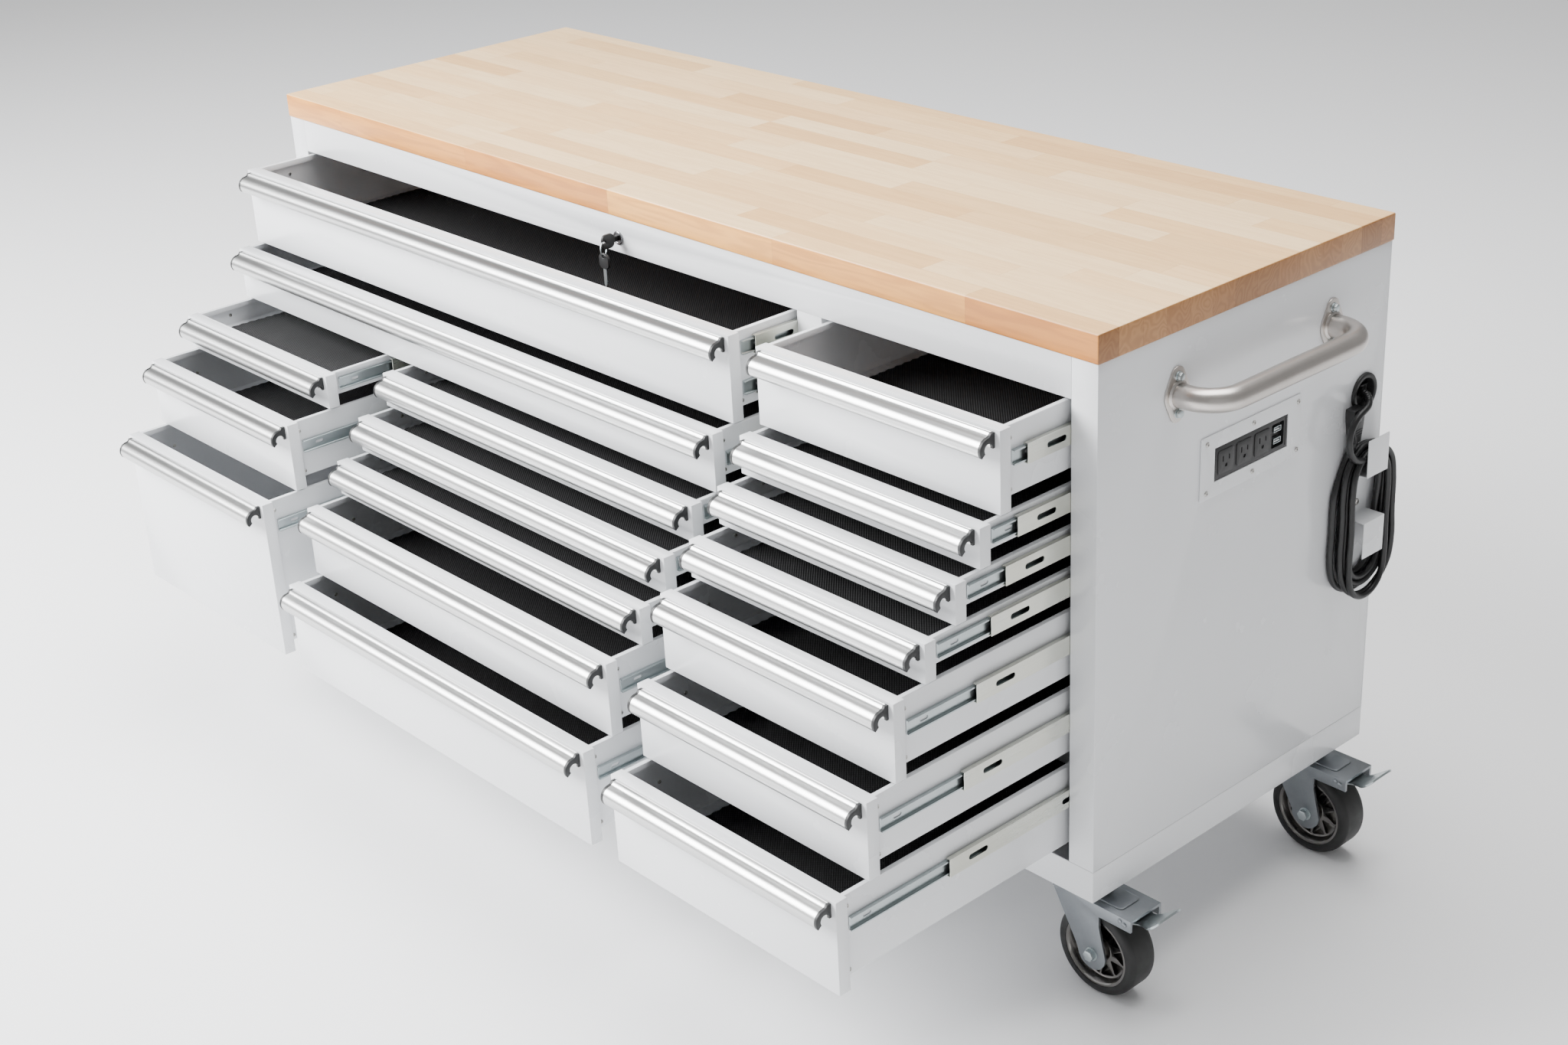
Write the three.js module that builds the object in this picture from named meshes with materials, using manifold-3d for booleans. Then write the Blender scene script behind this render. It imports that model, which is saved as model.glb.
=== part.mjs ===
// A rolling workbench: a butcher-block top on a steel cabinet with seventeen drawers and four casters.
// Millimetres. X runs along the bench, Y from its front (minus) to its back (plus), Z up from the floor.
import * as THREE from "three";
import { mergeVertices } from "three/addons/utils/BufferGeometryUtils.js";
import Module from "manifold-3d";

const wasm = await Module();
wasm.setup();

// Clearances and sheet. Cutters run past a face, and joined shapes into each other, by the overrun.
const FIT_GAP = 0.3;
const SHEET = 1.5;
const OVERRUN = 1;

// How finely round shapes are drawn
const ROUND_SIDES = 32;
const SMALL_ROUND_SIDES = 20;
const LATHE_SIDES = 40;
const TOP_EDGE_STEPS = 3;
const PULL_CURVE_STEPS = 9;
const FLANGE_CURVE_STEPS = 16;
const COIL_CURVE_STEPS = 20;
const HANDLE_STEPS = 30;
const HANDLE_HALF_SIDES = 8;
const CORD_STEPS = 24;
const CORD_HALF_SIDES = 5;
const SHOULDER_TURNS = [0, 45, 90];
const MERGE_DISTANCE = 1e-4;

// Worktop and cabinet
const TOP_LENGTH = 1829;
const TOP_DEPTH = 610;
const TOP_THICKNESS = 39;
const TOP_EDGE_RADIUS = 2.5;
const TOP_OVERHANG = 2;
const CABINET_HEIGHT = 770;
const BASE_HEIGHT = 48;
const BASE_SHEET = 2.5;
const TOP_RAIL_HEIGHT = 55;
const TOP_RAIL_DEPTH = 30;
const SIDE_STRIP_WIDTH = 42;

// Drawer fronts, and the gap round each of them
const FRONT_GAP = 4;
const FRONT_DEPTH = 19;
const SIDE_FRONT_WIDTH = 435;
const PARTITION_FACE_WIDTH = 48;
const SMALL_FRONT_HEIGHT = 55;
const MEDIUM_FRONT_HEIGHT = 111;
const WIDE_UPPER_HEIGHT = 126;
const WIDE_LOWER_HEIGHT = 86;

// Drawer trays, and the ball-bearing slides that they hang on
const TRAY_INSET = 5;
const TRAY_LIFT = 18;
const REAR_CLEARANCE = 30;
const HEM_WIDTH = 7;
const HEM_HEIGHT = 9;
const SLIDE_THICKNESS = 12.7;

// How far each drawer stands open, from the top of its column to the bottom
const WIDE_OPEN = [122, 160];
const LEFT_OPEN = [275, 354, 418];
const CENTRE_OPEN = [205, 259, 307, 371, 422];
const RIGHT_OPEN = [123, 160, 204, 258, 313, 363, 420];

// Dividers under the wide drawers
const DIVIDER_DEPTH = 40;
const DIVIDER_CLEARANCE = 1.5;

// Drawer pull
const PULL_END_SETBACK = 8.5;
const PULL_DROP_BELOW_EDGE = 3.5;
const PULL_FOOT_HEIGHT = 20;
const PULL_TOP_WIDTH = 6;
const PULL_BROW_RUNOUT = 2;
const PULL_CREST_ANGLE = 80;
const PULL_LIP_ANGLE = -38;
const PULL_HOOK_RADIUS = 14.5;
const PULL_GRIP_RADIUS = 7.5;
const PULL_HOOK_OUT = 11;
const PULL_HOOK_DOWN = 19;
const PULL_FOOT_THICKNESS = PULL_HOOK_OUT - PULL_GRIP_RADIUS;

// Lock and key
const LOCK_X = -6;
const LOCK_BELOW_TOP = 71.5;
const LOCK_PLUG_RADIUS = 7;
const LOCK_PLUG_LENGTH = 24;
const LOCK_FLANGE_RADIUS = 10.5;
const LOCK_FLANGE_THICKNESS = 2.5;
const KEY_NECK_LENGTH = 6;
const KEY_NECK_HEIGHT = 8;
const KEY_BOW_RADIUS = 12;
const KEY_THICKNESS = 4;
const KEY_BOW_OVERLAP = 2;

// Push handle. Every height called below top is measured from the worktop's face.
const HANDLE_FRONT_SETBACK = 151;
const HANDLE_SPAN = 324;
const HANDLE_BELOW_TOP = 122;
const HANDLE_TUBE_RADIUS = 16;
const HANDLE_TUBE_WALL = 1.5;
const HANDLE_STANDOFF = 62;
const HANDLE_BEND_RADIUS = 50;
const FLANGE_THICKNESS = 3;
const FLANGE_END_RADIUS = 13;
const FLANGE_MIDDLE_RADIUS = 24;
const FLANGE_BOLT_SPACING = 50;

// Power outlet
const OUTLET_FRONT_SETBACK = 309;
const OUTLET_BELOW_TOP = 245.5;
const OUTLET_PLATE_WIDTH = 212;
const OUTLET_PLATE_HEIGHT = 88.5;
const OUTLET_PLATE_THICKNESS = 2;
const OUTLET_BLOCK_WIDTH = 155;
const OUTLET_BLOCK_HEIGHT = 46.5;
const OUTLET_BLOCK_DEPTH = 33;
const OUTLET_BLOCK_RECESS = 0.8;
const OUTLET_CUTOUT_GAP = 1;

// Mains lead, its grommet, bracket, coil and plug
const CORD_RADIUS = 4.75;
const GROMMET_BACK_SETBACK = 49;
const GROMMET_BELOW_TOP = 245;
const GROMMET_FLANGE_RADIUS = 28;
const GROMMET_FLANGE_THICKNESS = 4;
const GROMMET_SLEEVE_RADIUS = 23;
const GROMMET_SLEEVE_DEPTH = 12;
const GROMMET_WELL_RADIUS = 20;
const GROMMET_WEB_THICKNESS = 3;
const GROMMET_CHAMFER = 1.5;
const BRACKET_BACK_SETBACK = 53;
const BRACKET_WIDTH = 48;
const BRACKET_SHEET = 2;
const BRACKET_REACH = 34;
const BRACKET_UPPER_BELOW_TOP = 355;
const BRACKET_LOWER_BELOW_TOP = 428;
const BRACKET_UPPER_FLAP = 54;
const BRACKET_LOWER_FLAP = 53;
const COIL_RINGS = 4;
const COIL_LAYERS = 2;
const COIL_INNER_RADIUS = 32;
const COIL_STANDOFF = 6.2;
const COIL_LOW_CENTRE_BELOW_TOP = 484;
const PLUG_OFFSET = -30;
const PLUG_SIDE_GAP = 0.05;
const PLUG_COIL_GAP = 1.1;
const PLUG_BODY_WIDTH = 25;
const PLUG_BODY_HEIGHT = 28;
const PLUG_BODY_THICKNESS = 18;
const PLUG_NECK_RADIUS = 7;
const PLUG_NECK_LENGTH = 4.5;
const PLUG_BLADE_LENGTH = 17;
const PLUG_BLADE_WIDTH = 6.4;
const PLUG_BLADE_THICKNESS = 1.5;
const PLUG_BLADE_SPACING = 12.7;
const PLUG_PIN_RADIUS = 2.4;
const PLUG_PIN_FORWARD = 5;

// The lead's free stretch: out from the end panel, in from the worktop's back edge, down from its top.
const CORD_ROUTE = [
  [-8.7, 49, 245],
  [8.5, 53.4, 246.4],
  [21.2, 65.4, 250.2],
  [25.8, 81.9, 255.4],
  [25.8, 95, 260.8],
  [25.8, 105.5, 270.5],
  [25.8, 112, 284.4],
  [25.8, 112.4, 299.7],
  [25.8, 106, 315],
  [25.8, 93, 326.5],
  [25.8, 75, 331],
  [25.8, 62, 331.6],
  [25.8, 53.3, 331.8],
];

// Casters
const CASTER_PAD_THICKNESS = 4;
const CASTER_PAD_LENGTH = 100;
const CASTER_PAD_WIDTH = 92;
const CASTER_END_SETBACK = 62;
const CASTER_SIDE_SETBACK = 62;
const CASTER_TRAIL = 35;
const WHEEL_RADIUS = 68;
const WHEEL_WIDTH = 50;
const WHEEL_SHOULDER = 9;
const HUB_RADIUS = 17;
const HUB_WIDTH = 54;
const RIM_RADIUS = 52;
const RIM_WEB_WIDTH = 30;
const AXLE_RADIUS = 6;
const AXLE_CLEARANCE = 0.3;
const FORK_SHEET = 4;
const FORK_CROWN_HALF_LENGTH = 36;
const FORK_WHEEL_GAP = 3;
const FORK_CROWN_GAP = 12;
const FORK_FOOT_RADIUS = 24;
const BALL_RACE_RADIUS = 34;
const BALL_RACE_HEIGHT = 20;
const BRAKE_COVER_REACH = 102;
const BRAKE_COVER_DROP = 18;
const PEDAL_PIVOT_REACH = 80;
const PEDAL_PIVOT_BELOW_CROWN = 10;
const PEDAL_HUB_RADIUS = 5;
const PEDAL_SHEET = 3;
const PEDAL_WIDTH = 48;
const PEDAL_REACH = 60;
const PEDAL_RISE = 20;
const PEDAL_KNEE_REACH = 26;
const PEDAL_KNEE_RISE = 1;

// Places worked out from the sizes above
const cabinetLength = TOP_LENGTH - 2 * TOP_OVERHANG;
const cabinetDepth = TOP_DEPTH - 2 * TOP_OVERHANG;
const halfLength = cabinetLength / 2;
const frontY = -cabinetDepth / 2;
const backY = cabinetDepth / 2;
const crownTopZ = 2 * WHEEL_RADIUS + FORK_CROWN_GAP + FORK_SHEET;
const padBottomZ = crownTopZ + BALL_RACE_HEIGHT;
const baseZ = padBottomZ + CASTER_PAD_THICKNESS;
const baseTopZ = baseZ + BASE_HEIGHT;
const cabinetTopZ = baseZ + CABINET_HEIGHT;
const topZ = cabinetTopZ + TOP_THICKNESS;
const openingBottomZ = baseTopZ;
const openingTopZ = cabinetTopZ - TOP_RAIL_HEIGHT;
const openingHalf = halfLength - SIDE_STRIP_WIDTH;
const slideWallRecess = SLIDE_THICKNESS - TRAY_INSET - FRONT_GAP;
const trayDepth = cabinetDepth - FRONT_DEPTH - REAR_CLEARANCE;
const panelZ = baseTopZ + FIT_GAP;
const panelHeight = cabinetTopZ - FIT_GAP - panelZ;
const backPanelFrontY = backY - SHEET;

const PAINT = { color: 0xeef0f1, roughness: 0.35, metalness: 0.1 };
const ZINC = { color: 0xa7adab, roughness: 0.35, metalness: 0.9 };
const DARK_ZINC = { color: 0x6d7276, roughness: 0.4, metalness: 0.85 };
const STEEL = { color: 0xb9b3aa, roughness: 0.3, metalness: 0.95 };
const ALUMINIUM = { color: 0xc9cdcc, roughness: 0.3, metalness: 0.95 };
const BLACK_PLASTIC = { color: 0x17181a, roughness: 0.5, metalness: 0 };
const RUBBER = { color: 0x101113, roughness: 0.75, metalness: 0 };
const WOOD = { color: 0xe3bd92, roughness: 0.45, metalness: 0 };

function solid(geometry) {
  const bare = geometry.index ? geometry.toNonIndexed() : geometry;
  bare.deleteAttribute("normal");
  bare.deleteAttribute("uv");
  const merged = mergeVertices(bare, MERGE_DISTANCE);
  return new wasm.Manifold(
    new wasm.Mesh({
      numProp: 3,
      vertProperties: merged.attributes.position.array,
      triVerts: new Uint32Array(merged.index.array),
    }),
  );
}

function geometryOf(shape) {
  const mesh = shape.getMesh();
  const geometry = new THREE.BufferGeometry();
  geometry.setAttribute("position", new THREE.BufferAttribute(mesh.vertProperties, 3));
  geometry.setIndex(new THREE.BufferAttribute(mesh.triVerts, 1));
  geometry.computeVertexNormals();
  return geometry;
}

function pieceOf(name, shape, look) {
  const mesh = new THREE.Mesh(geometryOf(shape), new THREE.MeshStandardMaterial(look));
  mesh.name = name;
  return mesh;
}

// A box between two values along each axis.
function block([x0, x1], [y0, y1], [z0, z1]) {
  const geometry = new THREE.BoxGeometry(x1 - x0, y1 - y0, z1 - z0);
  return solid(geometry.translate((x0 + x1) / 2, (y0 + y1) / 2, (z0 + z1) / 2));
}

// A cylinder from one value to the next along an axis, centred on the other two, given in X, Y, Z order.
function rod(axis, from, to, [a, b], radius, sides = ROUND_SIDES) {
  const geometry = new THREE.CylinderGeometry(radius, radius, to - from, sides);
  const middle = (from + to) / 2;
  if (axis === "x") geometry.rotateZ(-Math.PI / 2).translate(middle, a, b);
  if (axis === "y") geometry.translate(a, middle, b);
  if (axis === "z") geometry.rotateX(Math.PI / 2).translate(a, b, middle);
  return solid(geometry);
}

function union(shapes) {
  return shapes.reduce((whole, shape) => whole.add(shape));
}

// An outline in the X-Z plane, given a thickness along Y and centred on y.
function plateAcrossY(outline, thickness, y) {
  const geometry = new THREE.ExtrudeGeometry(outline, { depth: thickness, bevelEnabled: false });
  return solid(geometry.rotateX(Math.PI / 2).translate(0, y + thickness / 2, 0));
}

// A closed upright box with no top or bottom.
function uprightTube(xRange, yRange, zRange, wall) {
  const inner = ([low, high]) => [low + wall, high - wall];
  const through = [zRange[0] - OVERRUN, zRange[1] + OVERRUN];
  return block(xRange, yRange, zRange).subtract(block(inner(xRange), inner(yRange), through));
}

// ---- Worktop and cabinet ----

function worktop() {
  const inset = TOP_EDGE_RADIUS;
  const width = TOP_LENGTH - 2 * inset;
  const depth = TOP_DEPTH - 2 * inset;
  const outline = new THREE.Shape();
  outline.moveTo(-width / 2, -depth / 2).lineTo(width / 2, -depth / 2);
  outline.lineTo(width / 2, depth / 2).lineTo(-width / 2, depth / 2).closePath();
  const geometry = new THREE.ExtrudeGeometry(outline, {
    depth: TOP_THICKNESS - 2 * inset,
    bevelThickness: inset,
    bevelSize: inset,
    bevelSegments: TOP_EDGE_STEPS,
  });
  return pieceOf("worktop", solid(geometry.translate(0, 0, cabinetTopZ + inset)), WOOD);
}

// Double-walled side: an upright box whose inner wall carries the slides, and a strip facing forward.
function sideShell(side) {
  const outerX = side * halfLength;
  const stripX = side * openingHalf;
  const innerX = stripX + side * slideWallRecess;
  const along = (a, b) => [Math.min(a, b), Math.max(a, b)];
  const height = [panelZ, panelZ + panelHeight];
  const shell = uprightTube(along(innerX, outerX), [frontY, backPanelFrontY - FIT_GAP], height, SHEET);
  return shell.add(block(along(stripX, outerX), [frontY, frontY + SHEET], height));
}

function leftPanel() {
  return pieceOf("left_side_panel", sideShell(-1), PAINT);
}

function rightPanel() {
  const wall = [halfLength - 2 * SHEET, halfLength + SHEET];
  const outletY = -TOP_DEPTH / 2 + OUTLET_FRONT_SETBACK;
  const outletZ = topZ - OUTLET_BELOW_TOP;
  const halfWidth = OUTLET_BLOCK_WIDTH / 2 + OUTLET_CUTOUT_GAP;
  const halfHeight = OUTLET_BLOCK_HEIGHT / 2 + OUTLET_CUTOUT_GAP;
  const windowY = [outletY - halfWidth, outletY + halfWidth];
  const window = block(wall, windowY, [outletZ - halfHeight, outletZ + halfHeight]);
  const grommetHole = rod("x", wall[0], wall[1], grommetCentre(), GROMMET_SLEEVE_RADIUS + FIT_GAP);
  return pieceOf("right_side_panel", sideShell(1).subtract(window).subtract(grommetHole), PAINT);
}

function backPanel() {
  const z = [panelZ, panelZ + panelHeight];
  return pieceOf("back_panel", block([-halfLength, halfLength], [backPanelFrontY, backY], z), PAINT);
}

// The base is a shallow pan with a pad under each corner for a caster.
function baseFrame() {
  const pan = block([-halfLength, halfLength], [frontY, backY], [baseZ, baseTopZ]);
  const room = block(
    [-halfLength + BASE_SHEET, halfLength - BASE_SHEET],
    [frontY + BASE_SHEET, backY - BASE_SHEET],
    [baseZ + BASE_SHEET, baseTopZ + OVERRUN],
  );
  const pads = casterPlaces().map(([x, y]) =>
    block(
      [x - CASTER_PAD_LENGTH / 2, x + CASTER_PAD_LENGTH / 2],
      [y - CASTER_PAD_WIDTH / 2, y + CASTER_PAD_WIDTH / 2],
      [padBottomZ, baseZ + BASE_SHEET / 2],
    ),
  );
  return pieceOf("base_frame", union([pan.subtract(room), ...pads]), PAINT);
}

function topRail() {
  const x = [-openingHalf + FIT_GAP, openingHalf - FIT_GAP];
  const y = [frontY, frontY + TOP_RAIL_DEPTH];
  const z = [openingTopZ, cabinetTopZ - FIT_GAP];
  const ends = [x[0] - OVERRUN, x[1] + OVERRUN];
  const inside = block(ends, [y[0] + SHEET, y[1] - SHEET], [z[0] + SHEET, z[1] - SHEET]);
  const lockHole = rod("y", y[0] - OVERRUN, y[1] + OVERRUN, lockCentre(), LOCK_PLUG_RADIUS + FIT_GAP);
  return pieceOf("front_top_rail", block(x, y, z).subtract(inside).subtract(lockHole), PAINT);
}

// A partition between two drawer columns: an upright box with a face strip standing a little wider.
function partition(centre, top) {
  const wallHalf = PARTITION_FACE_WIDTH / 2 - slideWallRecess;
  const wallX = [centre - wallHalf, centre + wallHalf];
  const faceX = [centre - PARTITION_FACE_WIDTH / 2, centre + PARTITION_FACE_WIDTH / 2];
  const shell = uprightTube(wallX, [frontY, backPanelFrontY - FIT_GAP], [panelZ, top], SHEET);
  return shell.add(block(faceX, [frontY, frontY + SHEET], [panelZ, top]));
}

// Both partitions and the dividers under the wide drawers, welded together, with a post on the left one.
function innerFrame() {
  const { leftPartition, rightPartition, wideBottom } = columns;
  const backEnd = backPanelFrontY - FIT_GAP;
  const behindFronts = frontY + FRONT_DEPTH + FRONT_GAP;
  const wallHalf = PARTITION_FACE_WIDTH / 2 - slideWallRecess;
  const leftTop = wideBottom - FRONT_GAP;
  const dividerZ = [leftTop + DIVIDER_CLEARANCE, wideBottom + TRAY_LIFT - DIVIDER_CLEARANCE];
  const dividerX = [-openingHalf - slideWallRecess + FIT_GAP, rightPartition - wallHalf + SHEET];
  const postX = [leftPartition - wallHalf, leftPartition + wallHalf];
  return pieceOf(
    "inner_frame",
    union([
      partition(leftPartition, leftTop),
      partition(rightPartition, openingTopZ - FIT_GAP),
      uprightTube(postX, [behindFronts, backEnd], [leftTop - SHEET, dividerZ[1]], SHEET),
      divider(dividerX, [behindFronts, behindFronts + DIVIDER_DEPTH], dividerZ),
      divider(dividerX, [backEnd - DIVIDER_DEPTH, backEnd], dividerZ),
    ]),
    PAINT,
  );
}

// A channel with its open side down.
function divider(x, y, z) {
  const roomX = [x[0] - OVERRUN, x[1] - SHEET];
  const roomZ = [z[0] - OVERRUN, z[1] - SHEET];
  return block(x, y, z).subtract(block(roomX, [y[0] + SHEET, y[1] - SHEET], roomZ));
}

// ---- Drawers ----

// The columns, from the gaps and the fronts' widths. The wide drawers cover the left and centre columns.
function columnPlaces() {
  const leftLow = -openingHalf + FRONT_GAP;
  const leftHigh = leftLow + SIDE_FRONT_WIDTH;
  const leftPartition = leftHigh + FRONT_GAP + PARTITION_FACE_WIDTH / 2;
  const centreLow = leftPartition + PARTITION_FACE_WIDTH / 2 + FRONT_GAP;
  const wideBottom = openingTopZ - FRONT_GAP - WIDE_UPPER_HEIGHT - FRONT_GAP - WIDE_LOWER_HEIGHT;
  return {
    leftPartition,
    rightPartition: -leftPartition,
    wideBottom,
    wide: [leftLow, -centreLow],
    left: [leftLow, leftHigh],
    centre: [centreLow, -centreLow],
    right: [-leftHigh, -leftLow],
  };
}

// Each column's drawers, from the top down. The lowest takes the height that is left.
function drawerPlans() {
  const { wide, left, centre, right, wideBottom } = columns;
  const small = SMALL_FRONT_HEIGHT;
  const medium = MEDIUM_FRONT_HEIGHT;
  const lowerTop = wideBottom - FRONT_GAP;
  const topmost = openingTopZ - FRONT_GAP;
  return [
    ...columnPlans("wide", wide, topmost, [WIDE_UPPER_HEIGHT, WIDE_LOWER_HEIGHT], WIDE_OPEN),
    ...columnPlans("left", left, lowerTop, [small, medium], LEFT_OPEN),
    ...columnPlans("centre", centre, lowerTop, [small, small, small, medium], CENTRE_OPEN),
    ...columnPlans("right", right, topmost, [medium, small, small, small, medium, medium], RIGHT_OPEN),
  ];
}

function columnPlans(column, x, top, heights, opens) {
  let z = top;
  return opens.map((open, index) => {
    const height = heights[index] ?? z - openingBottomZ - FRONT_GAP;
    z -= height + FRONT_GAP;
    return { name: `${column}_drawer_${index + 1}`, x, bottom: z + FRONT_GAP, height, open };
  });
}

// A folded front pan with a hemmed tray behind it. Its own frame is centred on X, with Y from the front's
// face and Z from its lower edge.
function drawerShell(width, height) {
  const half = width / 2;
  const trayHalf = half - TRAY_INSET;
  const trayBack = FRONT_DEPTH + trayDepth;
  const pan = block([-half, half], [0, FRONT_DEPTH], [0, height]);
  const panRoom = block(
    [-half + SHEET, half - SHEET],
    [SHEET, FRONT_DEPTH + OVERRUN],
    [SHEET, height - SHEET],
  );
  const tray = block([-trayHalf, trayHalf], [FRONT_DEPTH - SHEET, trayBack], [TRAY_LIFT, height]);
  const room = block(
    [-trayHalf + SHEET, trayHalf - SHEET],
    [FRONT_DEPTH, trayBack - SHEET],
    [TRAY_LIFT + SHEET, height - HEM_HEIGHT],
  );
  const mouth = block(
    [-trayHalf + HEM_WIDTH, trayHalf - HEM_WIDTH],
    [FRONT_DEPTH, trayBack - HEM_WIDTH],
    [height - HEM_HEIGHT - OVERRUN, height + OVERRUN],
  );
  return pan.subtract(panRoom).add(tray.subtract(room).subtract(mouth));
}

// The pull's section: X is out from the front, Y is up from the pull's top.
function pullSection() {
  const hookAt = [PULL_HOOK_OUT, -PULL_HOOK_DOWN];
  const crest = THREE.MathUtils.degToRad(PULL_CREST_ANGLE);
  const lip = THREE.MathUtils.degToRad(PULL_LIP_ANGLE);
  const crestX = hookAt[0] + PULL_HOOK_RADIUS * Math.cos(crest);
  const crestY = hookAt[1] + PULL_HOOK_RADIUS * Math.sin(crest);
  const section = new THREE.Shape();
  section.moveTo(FIT_GAP, 0).lineTo(PULL_TOP_WIDTH, 0);
  section.quadraticCurveTo(PULL_TOP_WIDTH + PULL_BROW_RUNOUT, crestY, crestX, crestY);
  section.absarc(...hookAt, PULL_HOOK_RADIUS, crest, lip, true);
  section.absarc(...hookAt, PULL_GRIP_RADIUS, lip, Math.PI, false);
  section.lineTo(PULL_FOOT_THICKNESS, -PULL_FOOT_HEIGHT).lineTo(FIT_GAP, -PULL_FOOT_HEIGHT).closePath();
  return section;
}

function pullBar(width) {
  const length = width - 2 * PULL_END_SETBACK;
  const options = { depth: length, bevelEnabled: false, curveSegments: PULL_CURVE_STEPS };
  const geometry = new THREE.ExtrudeGeometry(pullSection(), options);
  const outAndUp = new THREE.Matrix4().makeBasis(
    new THREE.Vector3(0, -1, 0),
    new THREE.Vector3(0, 0, 1),
    new THREE.Vector3(-1, 0, 0),
  );
  return solid(geometry.applyMatrix4(outAndUp).translate(length / 2, 0, 0));
}

function drawer({ name, x, bottom, height, open }) {
  const width = x[1] - x[0];
  const pull = pieceOf(name.replace("drawer", "pull"), pullBar(width), ALUMINIUM);
  pull.position.z = height - PULL_DROP_BELOW_EDGE;
  const group = new THREE.Group();
  group.add(pieceOf(name, drawerShell(width, height), PAINT), pull);
  group.position.set((x[0] + x[1]) / 2, frontY - open, bottom);
  return group;
}

// ---- Lock and push handle ----

function lockCentre() {
  return [LOCK_X, topZ - LOCK_BELOW_TOP];
}

function lockKey() {
  const [x, z] = lockCentre();
  const face = frontY - FIT_GAP;
  const flange = face - LOCK_FLANGE_THICKNESS;
  const neck = flange - KEY_NECK_LENGTH;
  const neckZ = [z - KEY_NECK_HEIGHT / 2, z + KEY_NECK_HEIGHT / 2];
  const thickness = [x - KEY_THICKNESS / 2, x + KEY_THICKNESS / 2];
  return pieceOf(
    "lock_key",
    union([
      rod("y", face - OVERRUN, frontY + LOCK_PLUG_LENGTH, [x, z], LOCK_PLUG_RADIUS),
      rod("y", flange, face, [x, z], LOCK_FLANGE_RADIUS),
      block(thickness, [neck - KEY_BOW_OVERLAP, flange + OVERRUN], neckZ),
      rod("x", ...thickness, [neck - KEY_BOW_RADIUS + KEY_BOW_OVERLAP, z], KEY_BOW_RADIUS),
    ]),
    DARK_ZINC,
  );
}

// The handle's centreline, out from the panel at its front flange and back in at its rear one.
function handlePath(x0, y0, z) {
  const y1 = y0 + HANDLE_SPAN;
  const straightOut = HANDLE_STANDOFF - HANDLE_BEND_RADIUS;
  const path = new THREE.CurvePath();
  const point = (out, y) => new THREE.Vector3(x0 + out, y, z);
  const bend = (...places) => new THREE.QuadraticBezierCurve3(...places.map((place) => point(...place)));
  const outer = HANDLE_STANDOFF;
  const bendStart = y0 + HANDLE_BEND_RADIUS;
  const bendEnd = y1 - HANDLE_BEND_RADIUS;
  path.add(new THREE.LineCurve3(point(0, y0), point(straightOut, y0)));
  path.add(bend([straightOut, y0], [outer, y0], [outer, bendStart]));
  path.add(new THREE.LineCurve3(point(outer, bendStart), point(outer, bendEnd)));
  path.add(bend([outer, bendEnd], [outer, y1], [straightOut, y1]));
  path.add(new THREE.LineCurve3(point(straightOut, y1), point(0, y1)));
  return new THREE.CatmullRomCurve3(path.getSpacedPoints(2 * HANDLE_STEPS), false, "centripetal");
}

// An oval plate for two bolts, drawn round three circles on one line.
function flangeOutline(boreRadius) {
  const reach = FLANGE_BOLT_SPACING / 2;
  const lean = Math.acos((FLANGE_MIDDLE_RADIUS - FLANGE_END_RADIUS) / reach);
  const outline = new THREE.Shape();
  outline.absarc(0, 0, FLANGE_MIDDLE_RADIUS, -Math.PI / 2 + lean, Math.PI / 2 - lean, false);
  outline.absarc(0, reach, FLANGE_END_RADIUS, Math.PI / 2 - lean, Math.PI / 2 + lean, false);
  outline.absarc(0, 0, FLANGE_MIDDLE_RADIUS, Math.PI / 2 + lean, 1.5 * Math.PI - lean, false);
  outline.absarc(0, -reach, FLANGE_END_RADIUS, 1.5 * Math.PI - lean, 1.5 * Math.PI + lean, false);
  const bore = new THREE.Path().absarc(0, 0, boreRadius, 0, 2 * Math.PI, true);
  outline.holes.push(bore);
  return outline;
}

function pushHandle() {
  const x0 = halfLength + FIT_GAP;
  const y0 = -TOP_DEPTH / 2 + HANDLE_FRONT_SETBACK;
  const z = topZ - HANDLE_BELOW_TOP;
  const boreRadius = HANDLE_TUBE_RADIUS - HANDLE_TUBE_WALL;
  const ring = new THREE.Shape().absarc(0, 0, HANDLE_TUBE_RADIUS, 0, 2 * Math.PI, false);
  ring.holes.push(new THREE.Path().absarc(0, 0, boreRadius, 0, 2 * Math.PI, true));
  const extrudePath = handlePath(x0, y0, z);
  const tubeOptions = { steps: HANDLE_STEPS, extrudePath, curveSegments: HANDLE_HALF_SIDES };
  const tube = new THREE.ExtrudeGeometry(ring, tubeOptions);
  const flanges = [y0, y0 + HANDLE_SPAN].map((y) => {
    const options = { depth: FLANGE_THICKNESS, bevelEnabled: false, curveSegments: FLANGE_CURVE_STEPS };
    const plate = new THREE.ExtrudeGeometry(flangeOutline(boreRadius), options);
    return solid(plate.rotateY(Math.PI / 2).rotateX(Math.PI / 2).translate(x0, y, z));
  });
  return pieceOf("push_handle", union([solid(tube), ...flanges]), STEEL);
}

// ---- Outlet and mains lead ----

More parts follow.
